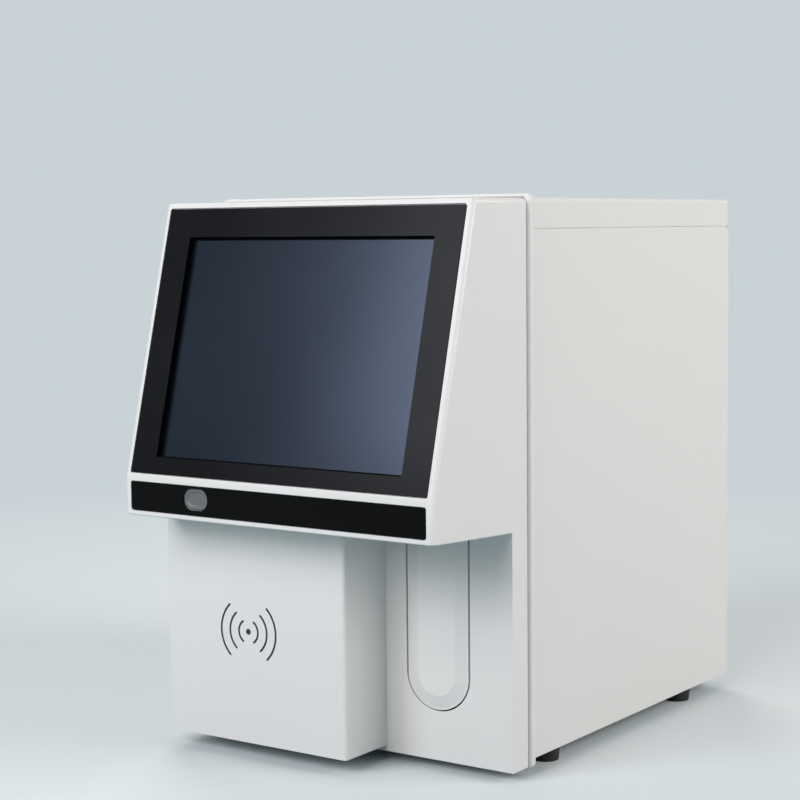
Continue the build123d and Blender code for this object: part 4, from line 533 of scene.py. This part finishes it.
def turn(shape, profile, centre, axis, angle, steps, climb=0.0, closed=True):
    """Carries a profile, points in millimetres, round an axis. climb is the way along the axis in all."""
    points = [shape.verts.new(Vector(point) * MM) for point in profile]
    pairs = list(zip(points, points[1:] + points[:1] if closed else points[1:]))
    lines = [shape.edges.new(pair) for pair in pairs]
    way = Vector(axis) * (climb * MM / steps)
    whole = climb == 0 and abs(angle - tau) < 1e-6
    return bmesh.ops.spin(shape, geom=points + lines, cent=Vector(centre) * MM, axis=axis, angle=angle,
                          steps=steps, dvec=way, use_merge=whole)["geom_last"]


def finish(name, shape, body, materials, smooth_under=35, edge=0.0):
    """Closes a made shape, points its faces outwards and places it as a piece."""
    bmesh.ops.remove_doubles(shape, verts=shape.verts, dist=0.001 * MM)
    bmesh.ops.holes_fill(shape, edges=shape.edges, sides=0)
    bmesh.ops.recalc_face_normals(shape, faces=shape.faces)
    for face in shape.faces:
        face.smooth = True
    mesh = bpy.data.meshes.new(name)
    shape.to_mesh(mesh)
    shape.free()
    mesh.set_sharp_from_angle(angle=radians(smooth_under))
    piece = place_piece(name, mesh, body, materials)
    if edge:
        rounding = piece.modifiers.new("rounded_edges", "BEVEL")
        rounding.width = edge * MM
        rounding.segments = 2
        rounding.limit_method = "ANGLE"
        rounding.angle_limit = radians(smooth_under)
    print(name, len(mesh.polygons), "faces")
    return piece


# %% [markdown]
# ## The printed mark on the reader cover
# A card is held against this cover, and a printed mark of three waves on each side of a dot shows where.
# Such a mark could be drawn in the cover's material, but then its edge is only as sharp as the pattern. Pad
# printing leaves a film of ink, so here each stroke is a thin film too: a short line turned round the
# mark's centre, with half a disc at each end.

# %% Printed waves
# Matt dark film
ink = grained("pad_printing_ink_grey", "#17181a", 0.5, 0.6, 0.004, tone=0.04)
cover_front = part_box("reader_cover")[0][1] / MM
mark_x, mark_z, mark_line, ink_film = -59.4, 93.4, 1.6, 0.07
waves = bmesh.new()
for radius, half_angle in ((8.8, 56), (17.0, 49), (25.2, 47)):
    for side in (0, 180):
        first = radians(side - half_angle)
        spots = [(mark_x + r * cos(first), cover_front, mark_z + r * sin(first))
                 for r in (radius - mark_line / 2, radius, radius + mark_line / 2)]
        turn(waves, spots, (mark_x, 0, mark_z), (0, -1, 0), radians(2 * half_angle), 24, closed=False)
        for angle, way in ((first, 1), (radians(side + half_angle), -1)):
            tip = (mark_x + radius * cos(angle), cover_front, mark_z + radius * sin(angle))
            rim = (tip[0] + mark_line / 2 * cos(angle), cover_front, tip[2] + mark_line / 2 * sin(angle))
            turn(waves, [tip, rim], tip, (0, way, 0), pi, 8, closed=False)
middle_dot = [(mark_x, cover_front, mark_z), (mark_x + 2.2, cover_front, mark_z)]
turn(waves, middle_dot, middle_dot[0], (0, 1, 0), tau, 24, closed=False)
bmesh.ops.remove_doubles(waves, verts=waves.verts, dist=0.02 * MM)
bmesh.ops.recalc_face_normals(waves, faces=waves.faces)
raised_film = bmesh.ops.extrude_face_region(waves, geom=waves.faces[:])["geom"]
raised_film = [item for item in raised_film if isinstance(item, bmesh.types.BMVert)]
bmesh.ops.translate(waves, verts=raised_film, vec=(0, -ink_film * MM, 0))
finish("reader_mark", waves, "instrument", [ink])

# %% [markdown]
# ## Display, strip and button
# The bezel lies flush in the housing, with a hair-thin black gap round it. Its window has deep straight
# walls, and the glass lies at their foot, so a shadow falls along its upper edge.

# %% Display
# Hands and cloths polish the edges of the bezel, so a thin bright line runs round it
handled_edge = grained("handled_pc_edge", "#0c0d0f", 0.22, 0.9, 0.002, **{"Specular IOR Level": 0.5})
remake("display_bezel", bezel_plastic, edge=0.15, edge_finish=handled_edge,
       bold=(((-107.2, 107.2), (-230, -170), (218, 380)), 0.5))
paint("touch_glass", etched_glass)
paint("lcd_module", panel_metal)
paint("lcd_bracket", zinc_sheet)
paint("display_board", board_upright_front)
remake("front_strip", strip_acrylic, edge=0.2)
button_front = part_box("power_button")[0][1] / MM
remake("power_button", frosted_lens, sharp_over=20,
       sunk=[(((-81, -54), (button_front - 0.1, button_front + 0.1), (184, 205)), 0.9, 1.6, 0.9)])
paint("power_button_board", board_upright_front)
paint("start_switch_bracket", zinc_sheet)
paint("start_microswitch", black_abs)
paint("reader_board", board_upright_front)
print("display, strip and button dressed")

# %% [markdown]
# ## A painted shadow round the glass
# A flat black foam ring lies on the glass inside the window. Its black is painted shade: from the front it is
# a dark line round the picture, where the window's walls would shade the edge of the glass. A rectangle of
# the window's size is inset, its middle is cut away, and the ring that is left is made solid.

# %% Ring of painted shadow
# Dull black with fine pores: painted shadow at the glass's edge
foam = grained("black_foam_painted_shadow", "#050607", 0.9, 0.5, 0.02, tone=0.1, **{"Specular IOR Level": 0.05})
glass_faces = frame["nodes"]["touch_glass"].data
off_glass = min((face.normal for face in glass_faces.polygons), key=lambda normal: normal.y).copy()
across = Vector((1, 0, 0))
upward = off_glass.cross(across)
foremost = max(corner.co.dot(off_glass) for corner in glass_faces.vertices)
front = [corner.co for corner in glass_faces.vertices if corner.co.dot(off_glass) > foremost - 0.1 * MM]
glass_middle = sum(front, Vector()) / len(front)
border, shadow_ring_width, shadow_ring_height = 5.05, 1.9, 0.4
reach_x = max((point - glass_middle).dot(across) for point in front) - border * MM
reach_z = max((point - glass_middle).dot(upward) for point in front) - border * MM
shadow_ring = bmesh.new()
seat = glass_middle - off_glass * 0.02 * MM
window = shadow_ring.faces.new([shadow_ring.verts.new(seat + across * reach_x * a + upward * reach_z * b)
                           for a, b in ((-1, -1), (1, -1), (1, 1), (-1, 1))])
window.normal_update()
ring = bmesh.ops.inset_individual(shadow_ring, faces=[window], thickness=shadow_ring_width * MM)["faces"]
bmesh.ops.delete(shadow_ring, geom=[window], context="FACES_ONLY")
bmesh.ops.solidify(shadow_ring, geom=ring, thickness=shadow_ring_height * MM)
sunk_by = seat.dot(off_glass) - min(corner.co.dot(off_glass) for corner in shadow_ring.verts)
bmesh.ops.translate(shadow_ring, verts=shadow_ring.verts, vec=off_glass * sunk_by)
finish("glass_painted_shadow_ring", shadow_ring, "instrument", [foam])
print("glass leans back", round(degrees(asin(off_glass.z)), 1), "degrees")

# %% [markdown]
# ## Two foam strips at the seams
# A grey strip lies in the joint between the housing's top and the frame. Its grey is painted shade: it shows
# as the fine dark line along the front that the joint's shadow would make. A pale strip lies on the edge of
# each side panel, and the lid closes on it, so that no dust gets in. Its pale colour is painted light, so
# that the seam under the lid doesn't look like a dark slot. Foam is cut from sheet, so its edges are only a
# little soft.

# %% Painted joint shade and lid seals
# Dull grey foam, painted shade at the joint, and dull off-white foam, painted light in the lid seam, with
# fine pores
joint_shade_foam = grained("grey_foam_painted_joint_shade", "#a9aaad", 0.8, 0.5, 0.02, tone=0.04)
lid_seam_light_foam = grained("pale_foam_painted_seam_light", "#cfcdca", 0.8, 0.5, 0.02, tone=0.03)
housing_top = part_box("front_housing")[1].z / MM
# The grey strip is painted shade along the foot of the frame
joint = bmesh.new()
block(joint, (-131.5, 131.5), (frame_front - 1.2, frame_front + 0.02), (housing_top - 0.9, housing_top + 1.5))
finish("joint_painted_shade_strip", joint, "instrument", [joint_shade_foam], edge=0.25)
panel_low, panel_high = [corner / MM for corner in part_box("side_panel_right")]
# Pale strips in the lid seam are painted light: their colour fills the gap where shade falls
strips = bmesh.new()
for side in (-1, 1):
    reach = sorted(side * (panel_high.x - inset) for inset in (0.45, 3.5))
    block(strips, reach, (panel_low.y + 2, panel_high.y - 4), (panel_high.z - 0.02, panel_high.z + 0.44))
finish("lid_seals_painted_seam_light", strips, "instrument", [lid_seam_light_foam], edge=0.1)

# %% [markdown]
# ## Return springs
# A compression spring is wound from round wire, and its first and last turns lie flat so that it stands
# square. The construction model has plain sleeves in these two places. The wire's round section is carried
# round the axis with a step along it: small in the end turns, larger between them.

# %% Two wound springs
def coil_spring(node, turns, wire):
    """A spring along y in the place of a node. Its rear end stands still while the joint moves."""
    low, high = [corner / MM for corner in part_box(node)]
    x, z = (low[0] + high[0]) / 2, (low[2] + high[2]) / 2
    reach = (high[0] - low[0]) / 2 - wire / 2
    free = high[1] - low[1] - wire
    inner_step = (free - 2 * wire) / turns
    shape = bmesh.new()
    ring = [(x + reach + wire / 2 * cos(a), low[1] + wire / 2 + wire / 2 * sin(a), z)
            for a in [tau * n / 8 for n in range(8)]]
    last = turn(shape, ring, (x, 0, z), (0, 1, 0), tau, 20, climb=wire)
    for count, step in ((turns, inner_step), (1, wire)):
        last = bmesh.ops.spin(shape, geom=last, cent=(x * MM, 0, z * MM), axis=(0, 1, 0), angle=tau * count,
                              steps=20 * count, dvec=(0, step * MM / 20, 0))["geom_last"]
    piece = finish(node + "_coil", shape, "instrument", [bright_steel], smooth_under=60)
    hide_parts(node)
    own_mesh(piece)


coil_spring("power_button_spring", 3, 0.9)
coil_spring("start_plate_spring", 5, 0.7)

# %% [markdown]
# ## Sheet-metal body
# The sides, the lid and the rear are folded steel with powder coat. A fold's outer edge is rounded by the
# bend, a cut edge only by the coat.

# %% Panels and feet
for node in ("side_panel_left", "side_panel_right", "top_lid", "rear_panel"):
    remake(node, powder_coat, edge=0.25)
remake("chassis_base", zinc_sheet)
remake("feet", foot_rubber)
for node in ("foot_screws", "case_screws", "lid_hinge_pins"):
    paint(node, bright_steel)
for node in ("lid_hinge_lower_leaves", "lid_hinge_upper_leaves"):
    remake(node, bright_steel, edge=0.12)
print("body dressed")

# %% [markdown]
# ## Fittings at the rear
# The mains inlet and its rocker are black mouldings with plated contacts. The sockets are nickel-plated
# shells round dark or white tongues, on a green board. The tube fittings are turned from a milky plastic. A
# piece of several materials is one solid in the construction model, so boxes pick the faces of each.

# %% Fan, inlet, sockets and tube fittings
remake("fan_frame", black_abs, edge=0.3)
remake("fan_rotor", black_abs)
paint("fan_guard", bright_steel)
inlet_low, inlet_high = [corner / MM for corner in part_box("power_inlet")]
inlet_x = (inlet_low[0] + inlet_high[0]) / 2
# The three contacts of the mains inlet
blades = [((inlet_x + x - 1.1, inlet_x + x + 1.1), (190, 201.2), (67 + z - 2.1, 67 + z + 2.1))
          for x, z in ((-7, -2), (7, -2), (0, 2))]
remake("power_inlet", black_abs, edge=0.3, regions=[(blade, contact_brass) for blade in blades])
remake("power_rocker", black_abs, edge=0.2)
board_low, board_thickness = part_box("port_board")[0] / MM, 1.6
shelf = board_low[2] + board_thickness
# In this order: the board, the network socket's hollow, four tongues, the serial socket's inner face
socket_parts = [(((-108.1, -7.9), (160, 202.3), (board_low[2] - 0.1, shelf + 0.05)), board_flat),
                (((-98.2, -85.8), (191.5, 203.7), (shelf + 2.4, shelf + 10.6)), black_abs)]
for x in (-72.0, -54.0):
    for z in (shelf + 1.2, shelf + 8.6):
        socket_parts.append((((x - 5.6, x + 5.6), (193.2, 202.6), (z + 3.35, z + 4.65)), acetal))
socket_parts.append((((-38, -20), (203.6, 204.4), (shelf + 2, shelf + 10.5)), black_abs))
remake("port_board", nickel_shell, regions=socket_parts)
remake("reagent_fittings", tube_plastic, edge=0.2)
print("rear fittings dressed, with", len(socket_parts), "regions on the socket board")

# %% [markdown]
# ## Marks on the rocker
# A rocker that switches the mains carries the two standard marks: a bar for on and a ring for off. Each is a
# film of white ink on its half of the rocker, and rides with it.

# %% Bar and ring
# Matt white film
white_ink = grained("pad_printing_ink_white", "#dcdcd8", 0.5, 0.6, 0.004)
pivot = Vector((inlet_x, 200.0, 93.0))
tipped, flank = radians(8), radians(10.44)
face_out, face_up, mark_film = 6.7, 3.8, 0.12
outward, along = Vector((0, cos(tipped), -sin(tipped))), Vector((0, sin(tipped), cos(tipped)))
marks = bmesh.new()
for half in (1, -1):
    slope = flank * half
    normal = outward * cos(slope) - along * sin(slope)
    centre = pivot + outward * face_out + along * face_up * half
    flat = Matrix((Vector((1, 0, 0)), normal.cross(Vector((1, 0, 0))), normal)).transposed().to_4x4()
    flat.translation = centre * MM
    if half == 1:
        bar = Matrix.Diagonal((0.8 * MM, 4.2 * MM, mark_film * MM, 1))
        bmesh.ops.create_cube(marks, size=1, matrix=flat @ bar)
    else:
        ring = bmesh.new()
        section = [(r, 0, side * mark_film / 2) for r, side in ((1.5, -1), (2.2, -1), (2.2, 1), (1.5, 1))]
        turn(ring, section, (0, 0, 0), (0, 0, 1), tau, 28)
        bmesh.ops.transform(ring, matrix=flat, verts=ring.verts)
        ring_mesh = bpy.data.meshes.new("off_ring")
        ring.to_mesh(ring_mesh)
        ring.free()
        marks.from_mesh(ring_mesh)
finish("rocker_marks", marks, "power_rocker", [white_ink])

# %% [markdown]
# ## Lead screws
# The probe and the syringe are each driven by a small screw that turns in a nut. The thread is a ridge with
# a flat top, and it is carried round and along the rod at once. Its real pitch is one millimetre. Two are
# drawn, so that the turns still show in the picture.

# %% Two threaded screws
def lead_screw(node, body, plain_low, plain_high):
    """A screw along z in the place of a node, plain for these lengths in millimetres at its ends."""
    low, high = [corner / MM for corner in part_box(node)]
    x, y = (low[0] + high[0]) / 2, (low[1] + high[1]) / 2
    outer = (high[0] - low[0]) / 2
    thread_depth, chamfer, pitch = 0.55, 0.4, 2.0
    core = outer - thread_depth
    first, last = low[2] + plain_low, high[2] - plain_high
    shape = bmesh.new()
    outline = [(0, low[2]), (outer - chamfer, low[2]), (outer, low[2] + chamfer), (outer, first),
               (core, first + 0.5), (core, last - 0.5), (outer, last), (outer, high[2] - chamfer),
               (outer - chamfer, high[2]), (0, high[2])]
    turn(shape, [(x + r, y, z) for r, z in outline], (x, y, 0), (0, 0, 1), tau, 24, closed=False)
    bmesh.ops.remove_doubles(shape, verts=shape.verts, dist=0.001 * MM)
    rounds = int((last - first - 2) / pitch)
    ridge = [(core - 0.1, 0.55), (outer, 0.25), (outer, -0.25), (core - 0.1, -0.55)]
    turn(shape, [(x + r, y, first + 1 + z) for r, z in ridge], (x, y, 0), (0, 0, 1), tau * rounds,
         18 * rounds, climb=pitch * rounds)
    piece = finish(node + "_thread", shape, body, [bright_steel], smooth_under=40)
    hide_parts(node)


lead_screw("lift_screw", "lift_screw", 6.0, 24.0)
lead_screw("syringe_screw", "syringe_screw", 24.0, 3.0)

# %% [markdown]
# ## The toothed belt
# The belt that pulls the probe has teeth on its inner side, which mesh with the pulleys and the carriage's
# clamp. The construction model has a smooth band. One tooth on each run and an Array modifier give the rest.

# %% Teeth on both runs of the belt
belt_low, belt_high = [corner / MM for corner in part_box("travel_belt")]
tooth_pitch, tooth_width, tooth_height = 3.0, 1.5, 0.5
belt_sheet, belt_bend = 1.4, 11.0
first_tooth, last_tooth = belt_low[1] + belt_bend, belt_high[1] - belt_bend
teeth = bmesh.new()
for face_z, way in ((belt_high[2] - belt_sheet, -1), (belt_low[2] + belt_sheet, 1)):
    rise = sorted((face_z - 0.1 * way, face_z + way * tooth_height))
    block(teeth, (belt_low[0], belt_high[0]), (first_tooth, first_tooth + tooth_width), rise)
teeth_piece = finish("belt_teeth", teeth, "instrument", [belt_rubber])
row = teeth_piece.modifiers.new("tooth_row", "ARRAY")
row.use_relative_offset = False
row.use_constant_offset = True
row.constant_offset_displace = (0, tooth_pitch * MM, 0)
row.count = int((last_tooth - first_tooth) / tooth_pitch)
paint("travel_belt", belt_rubber)
print(row.count, "teeth on each run")

# %% [markdown]
# ## The main board
# The board stands on posts beside the service wall. On it are sockets of cream nylon with plated pins,
# three capacitors in printed sleeves, moulded chips, and a processor under a finned cooler. The
# construction model has a plain block for the cooler. Its faces are dropped from the copy, and a base with
# fins takes its place.

# %% Board, sockets and cooler
capacitor_height, socket_height = 16.0, 9.0
capacitor_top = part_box("main_board")[0][0] / MM
board_face = capacitor_top + capacitor_height
socket_top = board_face - socket_height
socket_rows = [(-48.5 + 40 * number, z, width) for number in range(4)
               for z, width in ((178.9, 26), (300.9, 20))]
# In this order: the posts behind the board, the capacitors' bare tops, their sleeves, the memory chip
parts = [(((board_face + board_thickness + 0.01, 20), (-83, 98), (164, 316)), contact_brass),
         (((capacitor_top - 0.1, capacitor_top + 0.1), (20, 75), (208, 222)), machined_aluminium),
         (((capacitor_top + 0.1, board_face - 0.05), (20, 75), (208, 222)), can_sleeve),
         (((board_face - 3.1, board_face - 0.05), (29, 50), (242, 264)), chip_epoxy)]
hollows = []
for y, z, width in socket_rows:
    parts.append((((socket_top - 0.1, board_face - 0.05), (y - 14, y + 14), (z - 5, z + 5)), socket_nylon))
    hollows.append((((socket_top - 0.1, socket_top + 0.1), (y - 14, y + 14), (z - 5, z + 5)), 1.0, 0.01, 6.5))
cooler = ((board_face - 12.0, board_face), (-32.5, 7.5), (224.9, 264.9))
wider = tuple((low - 0.1, high - 0.05 if n == 0 else high + 0.1) for n, (low, high) in enumerate(cooler))
remake("main_board", board_upright_side, regions=parts, dropped=[wider], sunk=hollows)

fins = bmesh.new()
fin_count, fin_width, cooler_base = 10, 1.3, 3
(cool_x, cool_far), (cool_y, cool_end), cool_z = cooler
block(fins, (cool_far - cooler_base, cool_far), (cool_y, cool_end), cool_z)
for number in range(fin_count):
    y = cool_y + number * (cool_end - cool_y - fin_width) / (fin_count - 1)
    block(fins, (cool_x, cool_far - cooler_base + 0.1), (y, y + fin_width), cool_z)
finish("processor_cooler", fins, "instrument", [black_anodised])

pins = bmesh.new()
pin_pitch, half_pin = 2.5, 0.32
for y, z, width in socket_rows:
    count = int((width - 5) / pin_pitch)
    for number in range(count):
        at = y + pin_pitch * (number - (count - 1) / 2)
        block(pins, (board_face - 7.5, board_face - 2.4), (at - half_pin, at + half_pin),
              (z - half_pin, z + half_pin))
finish("socket_pins", pins, "instrument", [contact_brass])

# %% [markdown]
# ## The working parts inside
# They show when the lid is open. Each gets the finish of its usual material: anodised plates, ground rails,
# enamelled motors, a glass syringe and clear chambers.

# %% Probe travel, lift, syringe, chambers, pump and valves
for node in ("service_wall", "probe_carriage", "probe_slider", "syringe_frame", "drive_pulley",
             "idler_pulley"):
    paint(node, machined_aluminium)
for node in ("travel_rail", "lift_rail", "sample_probe"):
    paint(node, bright_steel)
for node in ("travel_motor", "lift_motor", "syringe_motor"):
    paint(node, motor_paint)
paint("probe_wipe", acetal)
paint("syringe_plunger", acetal)
paint("syringe_barrel", syringe_glass)
paint("counting_chambers", clear_acrylic)
paint("chamber_bracket", zinc_sheet)
# The pump's head is black and its two hose tails are white
pump_head = ((-106, -70), (-101, -70.6))
remake("vacuum_pump", zinc_sheet, regions=[((*pump_head, (13, 63)), black_abs),
                                           ((*pump_head, (63, 76)), acetal)])
# The valves' coils are black on a white manifold, and the ends of their plungers are steel
wall_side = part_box("valve_bank")[1][0] / MM
valve_row = ((-80, 75), (120, 160))
remake("valve_bank", acetal, regions=[
    (((wall_side - 60, wall_side - 50.05), *valve_row), bright_steel),
    (((wall_side - 50.1, wall_side - 22.05), *valve_row), motor_paint)])
# The power supply's terminal row is black
remake("power_supply", zinc_sheet, regions=[(((-121, -31), (158.2, 170.2), (31.8, 42.2)), black_abs)])
print("working parts dressed")

# %% [markdown]
# ## Divisions on the syringe
# The syringe's volume is read from fine dark rings fired on to its glass. Each is a tiny profile turned
# round the barrel's axis.

# %% Rings on the barrel
barrel_low, barrel_high = [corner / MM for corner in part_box("syringe_barrel")]
barrel_x, barrel_y = (barrel_low[0] + barrel_high[0]) / 2, (barrel_low[1] + barrel_high[1]) / 2
barrel_r = (barrel_high[0] - barrel_low[0]) / 2
rings = bmesh.new()
first_ring, ring_step, ring_width = 14, 5, 0.35
ring_foot, ring_top = barrel_r - 0.02, barrel_r + 0.04
for number in range(9):
    z = barrel_low[2] + first_ring + ring_step * number
    band = [(ring_foot, z), (ring_top, z), (ring_top, z + ring_width), (ring_foot, z + ring_width)]
    turn(rings, [(barrel_x + r, barrel_y, at) for r, at in band], (barrel_x, barrel_y, 0), (0, 0, 1), tau, 32)
finish("syringe_rings", rings, "instrument", [ink])
